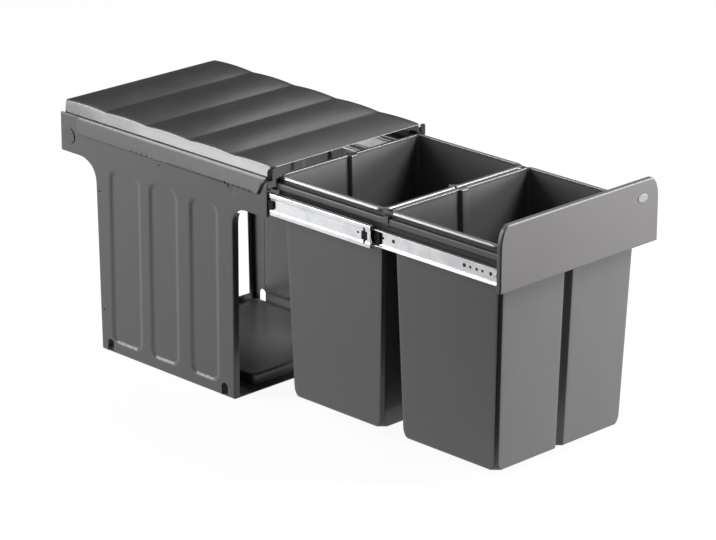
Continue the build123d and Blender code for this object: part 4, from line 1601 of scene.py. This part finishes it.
@dataclass
class Bins:
    """The two moulded bins, with cut corners, grooves and rolled rims."""

    materials: dict[str, bpy.types.Material]
    wall: float = 2.0
    rim_reach: float = 6.0
    rim_corner: float = 14.0
    rim_arcs: tuple[Point, ...] = ((1.4, 90.0, 42.0), (9.0, 42.0, 14.0), (1.2, 14.0, 0.0))
    rim_parts: int = 5
    rim_sheet: float = 2.0
    inner_edge: float = 1.1
    edge_parts: int = 4
    lip_drop: float = 2.6
    draft_x: float = 9.8
    draft_y: float = 12.8
    facet: float = 5.0
    facet_round: float = 1.1
    facet_parts: int = 2
    notch: float = 9.8
    groove: float = 7.5
    groove_flank: float = 2.0
    groove_depth: float = 6.5
    narrowing: float = 1.0
    foot: float = 4.0
    foot_within: float = 0.7
    foot_rows: tuple[float, ...] = (6.5, 9.0, 12.0, 16.0)
    wall_rows: tuple[float, ...] = (0.25, 0.5, 0.75)
    corner_growth: float = 8.0
    corner_rise: float = 16.0
    spacing: float = 6.0
    sharp: float = 40.0
    pip_half: float = 3.4
    pip_rise: float = 2.4
    pip_sink: float = 0.6
    pip_inset: float = 2.0
    pip_depth: float = 0.7
    pip_least: float = 0.12
    pip_dome: float = 0.6
    pip_parts: int = 16

    def bends(self, share: float, inset: float, half: Flat, rise: float = math.inf) -> list[Bend]:
        """Corners of a bin's wall at a height, drawn in by an inset.

        Args:
            share: The height's share of the wall, from its foot.
            inset: How far the outline is drawn in.
            half: Half of the rim's width and depth.
            rise: The height over the foot.

        Returns:
            The corners, anticlockwise from the front groove's root.
        """
        x = half[0] - self.rim_reach - (1.0 - share) * self.draft_x - inset
        y = half[1] - self.rim_reach - (1.0 - share) * self.draft_y - inset
        growth = self.corner_growth * max(0.0, 1.0 - rise / self.corner_rise) ** 2
        cut = self.facet + growth - inset * (2.0 - math.sqrt(2.0))
        narrow = (1.0 - share) * self.narrowing
        notch = self.notch - narrow + inset * (math.sqrt(2.0) - 1.0)
        mouth = self.groove - narrow + inset
        turn = self.facet_round
        right = [
            Bend(notch, -y, turn),
            Bend(x - cut, -y, turn),
            Bend(x, cut - y, turn),
            Bend(x, y - cut, turn),
            Bend(x - cut, y, turn),
            Bend(mouth, y, turn),
            Bend(mouth - self.groove_flank, y - self.groove_depth, turn),
        ]
        left = [Bend(-bend.across, bend.up, turn) for bend in reversed(right)]
        return [Bend(0.0, notch - y, turn)] + right + left

    def onto_rim(self, points: list[Flat], half: Flat, inset: float) -> list[Flat]:
        """Send each point of a wall outwards onto the rim's rounded rectangle.

        Args:
            points: The wall's outline.
            half: Half of the rim's width and depth.
            inset: How far the rectangle is drawn in.

        Returns:
            The points on the rectangle.
        """
        wide, deep = half[0] - inset, half[1] - inset
        radius = max(1.0, self.rim_corner - inset)
        found = []
        for x, y in points:
            share = min(wide / max(abs(x), NEARLY_ZERO), deep / max(abs(y), NEARLY_ZERO))
            px, py = x * share, y * share
            over_x, over_y = abs(px) - (wide - radius), abs(py) - (deep - radius)
            if over_x > 0.0 and over_y > 0.0:
                length = math.hypot(over_x, over_y)
                px = math.copysign(wide - radius + over_x * radius / length, px)
                py = math.copysign(deep - radius + over_y * radius / length, py)
            found.append((px, py))
        return found

    def rim_profile(self) -> list[Flat]:
        """The rim's outer profile.

        Returns:
            The inset and the drop of each of its points, from the flat top down.
        """
        out, drop = 0.0, 0.0
        profile = [(out, drop)]
        for radius, start, end in self.rim_arcs:
            parts = self.rim_parts
            turns = [math.radians(start + (end - start) * step / parts) for step in range(parts + 1)]
            for first, second in zip(turns, turns[1:]):
                out += radius * (math.cos(second) - math.cos(first))
                drop += radius * (math.sin(first) - math.sin(second))
                profile.append((out, drop))
        return [(out - across, down) for across, down in profile]

    def heights(self, foot: float, low: float, high: float) -> list[float]:
        """Heights at which the wall's outline is drawn, from the foot up.

        Args:
            foot: The height of the bin's underside.
            low: The height at which the wall's even rows start.
            high: The height at which they end.

        Returns:
            The heights.
        """
        even = [low + (high - low) * share for share in self.wall_rows]
        return [foot + rise for rise in self.foot_rows] + even

    def inside(self, foot: float, top: float) -> list[Flat]:
        """Rows of the wall's inner face, from the floor up to the rim.

        Args:
            foot: The height of the bin's underside.
            top: The height of the rim's top.

        Returns:
            The height of each row, and how far the wall is drawn in there.
        """
        floor, radius, edge = foot + self.wall, self.foot * self.foot_within, self.inner_edge
        turns = [(1.0 - math.cos(turn), 1.0 - math.sin(turn)) for turn in quarter(self.edge_parts)]
        rows = [(floor + radius * rise, self.wall + radius * inset) for rise, inset in turns]
        rows += [(z, self.wall) for z in self.heights(foot, floor, top)]
        return rows + [(top - edge * drop, self.wall - edge * out) for out, drop in turns]

    def outside(self, foot: float, under: float) -> list[Flat]:
        """Rows of the wall's outer face, from under the rim down to the foot.

        Args:
            foot: The height of the bin's underside.
            under: The height of the rim's underside.

        Returns:
            The height of each row, and how far the wall is drawn in there.
        """
        turns = quarter(self.edge_parts)[::-1]
        rows = [(under, 0.0)] + [(z, 0.0) for z in self.heights(foot, foot, under)[::-1]]
        return rows + [
            (foot + self.foot * (1.0 - math.cos(turn)), self.foot * (1.0 - math.sin(turn)))
            for turn in turns
        ]

    def shell(self, low: Vector, high: Vector) -> Shell:
        """Build a bin in its solid's box.

        Args:
            low: The box's lowest corner, in millimetres.
            high: The box's highest corner, in millimetres.

        Returns:
            The bin's shell.
        """
        half = ((high.x - low.x) / 2.0, (high.y - low.y) / 2.0)
        middle = (low.y + high.y) / 2.0
        under, top, foot = high.z - self.rim_sheet, high.z, low.z
        _, counts = rounded_outline(self.bends(1.0, 0.0, half), self.facet_parts, self.spacing)

        def wall(z: float, inset: float) -> list[Flat]:
            """The wall's outline at a height.

            Args:
                z: The height.
                inset: How far the outline is drawn in.

            Returns:
                The outline, round the bin's own middle.
            """
            bends = self.bends((z - foot) / (under - foot), inset, half, z - foot)
            return rounded_outline(bends, self.facet_parts, self.spacing, counts)[0]

        mouth = wall(top, self.wall - self.inner_edge)
        lip = self.rim_sheet + self.lip_drop
        rim = self.rim_profile()
        rim += [(0.0, lip), (self.rim_sheet, lip), (self.rim_sheet, self.rim_sheet)]
        sections = [(wall(z, inset), z) for z, inset in self.inside(foot, top)]
        sections += [(self.onto_rim(mouth, half, inset), top - drop) for inset, drop in rim]
        sections += [(wall(z, inset), z) for z, inset in self.outside(foot, under)]
        shell = Shell()
        shell.solid([[(x, y + middle, z) for x, y in outline] for outline, z in sections])
        self.pip(shell, middle - half[1] + self.pip_inset, top)
        return shell

    def pip(self, shell: Shell, y: float, top: float) -> None:
        """Add the small moulded pip on the front rim's middle.

        Args:
            shell: The bin's shell.
            y: The pip's place along the object.
            top: The height of the rim's top.
        """
        rings = []
        for turn in quarter(self.edge_parts):
            size = self.pip_half * max(self.pip_least, math.cos(turn)) ** self.pip_dome
            z = top - self.pip_sink + (self.pip_rise + self.pip_sink) * math.sin(turn)
            deep = self.pip_depth * size
            spots = [(math.cos(angle), math.sin(angle)) for angle in circle(self.pip_parts)]
            rings.append([(size * across, y + deep * along, z) for across, along in spots])
        shell.solid(rings)

    def build(self) -> None:
        """Build both bins over their solids."""
        for place in ("front", "rear"):
            low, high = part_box(f"{place}_bin")
            shell = self.shell(low / MM, high / MM)
            finish = self.materials["bin_plastic"]
            piece = shell.piece(
                f"{place}_bin_body", f"{place}_waste_bin", "bin_plastic", finish, self.sharp
            )
            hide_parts(f"{place}_bin")


@dataclass
class FrameRails:
    """The two side members that the bins hang on, with a channel under their band."""

    materials: dict[str, bpy.types.Material]
    edge: float = 0.4
    arc_parts: int = 4
    spacing: float = 30.0
    section: tuple[Bend, ...] = (
        Bend(154.3, 390.3, 0.5),
        Bend(154.3, 381.8, 1.0),
        Bend(160.0, 380.6, 1.6),
        Bend(160.0, 370.8, 1.6),
        Bend(155.0, 369.6, 1.0),
        Bend(155.0, 361.4, 0.8),
        Bend(158.8, 360.2, 0.6),
        Bend(158.8, 333.0, 0.4),
        Bend(157.3, 333.0, 0.4),
        Bend(157.3, 359.0, 0.6),
        Bend(153.5, 360.2, 0.8),
        Bend(153.5, 370.8, 0.8),
        Bend(158.4, 372.0, 0.8),
        Bend(158.4, 379.4, 0.8),
        Bend(152.8, 380.5, 0.8),
        Bend(152.8, 390.3, 0.5),
    )

    def build(self) -> None:
        """Build both members over their solids."""
        corners = list(self.section)[::-1]
        outline, _ = rounded_outline(corners, self.arc_parts, self.spacing)
        finish = self.materials["frame_paint"]
        for name, side in (("left", -1), ("right", 1)):
            low, high = (corner.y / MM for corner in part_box(f"{name}_frame_rail"))
            shell = Shell()
            shell.plate(outline, softened(low, high, self.edge), Run.ALONG, side)
            piece = shell.piece(f"{name}_frame_member", "drawer", "frame_paint", finish)
            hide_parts(f"{name}_frame_rail")


def dress(frame: dict, materials: dict[str, bpy.types.Material]) -> None:
    """Give every solid of the frame its finish.

    Args:
        materials: The materials by slot.
    """
    slots = {row["node"]: row["material_slot"] for row in frame["record"]["subparts"]}
    for name, node in frame["nodes"].items():
        node.data.materials.clear()
        node.data.materials.append(materials[slots[name]])


def main() -> None:
    """Build the scene round the frame."""
    logging.basicConfig(level=logging.INFO, format="%(name)s: %(message)s")
    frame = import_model()
    bpy.context.scene.view_settings.view_transform = "Standard"
    materials = Finishes().materials()
    dress(frame, materials)
    SidePanels(materials).build()
    Lid(materials).build()
    Bins(materials).build()
    FrameRails(materials).build()
    Studio().build()
    View().build()


if __name__ == "__main__":
    main()
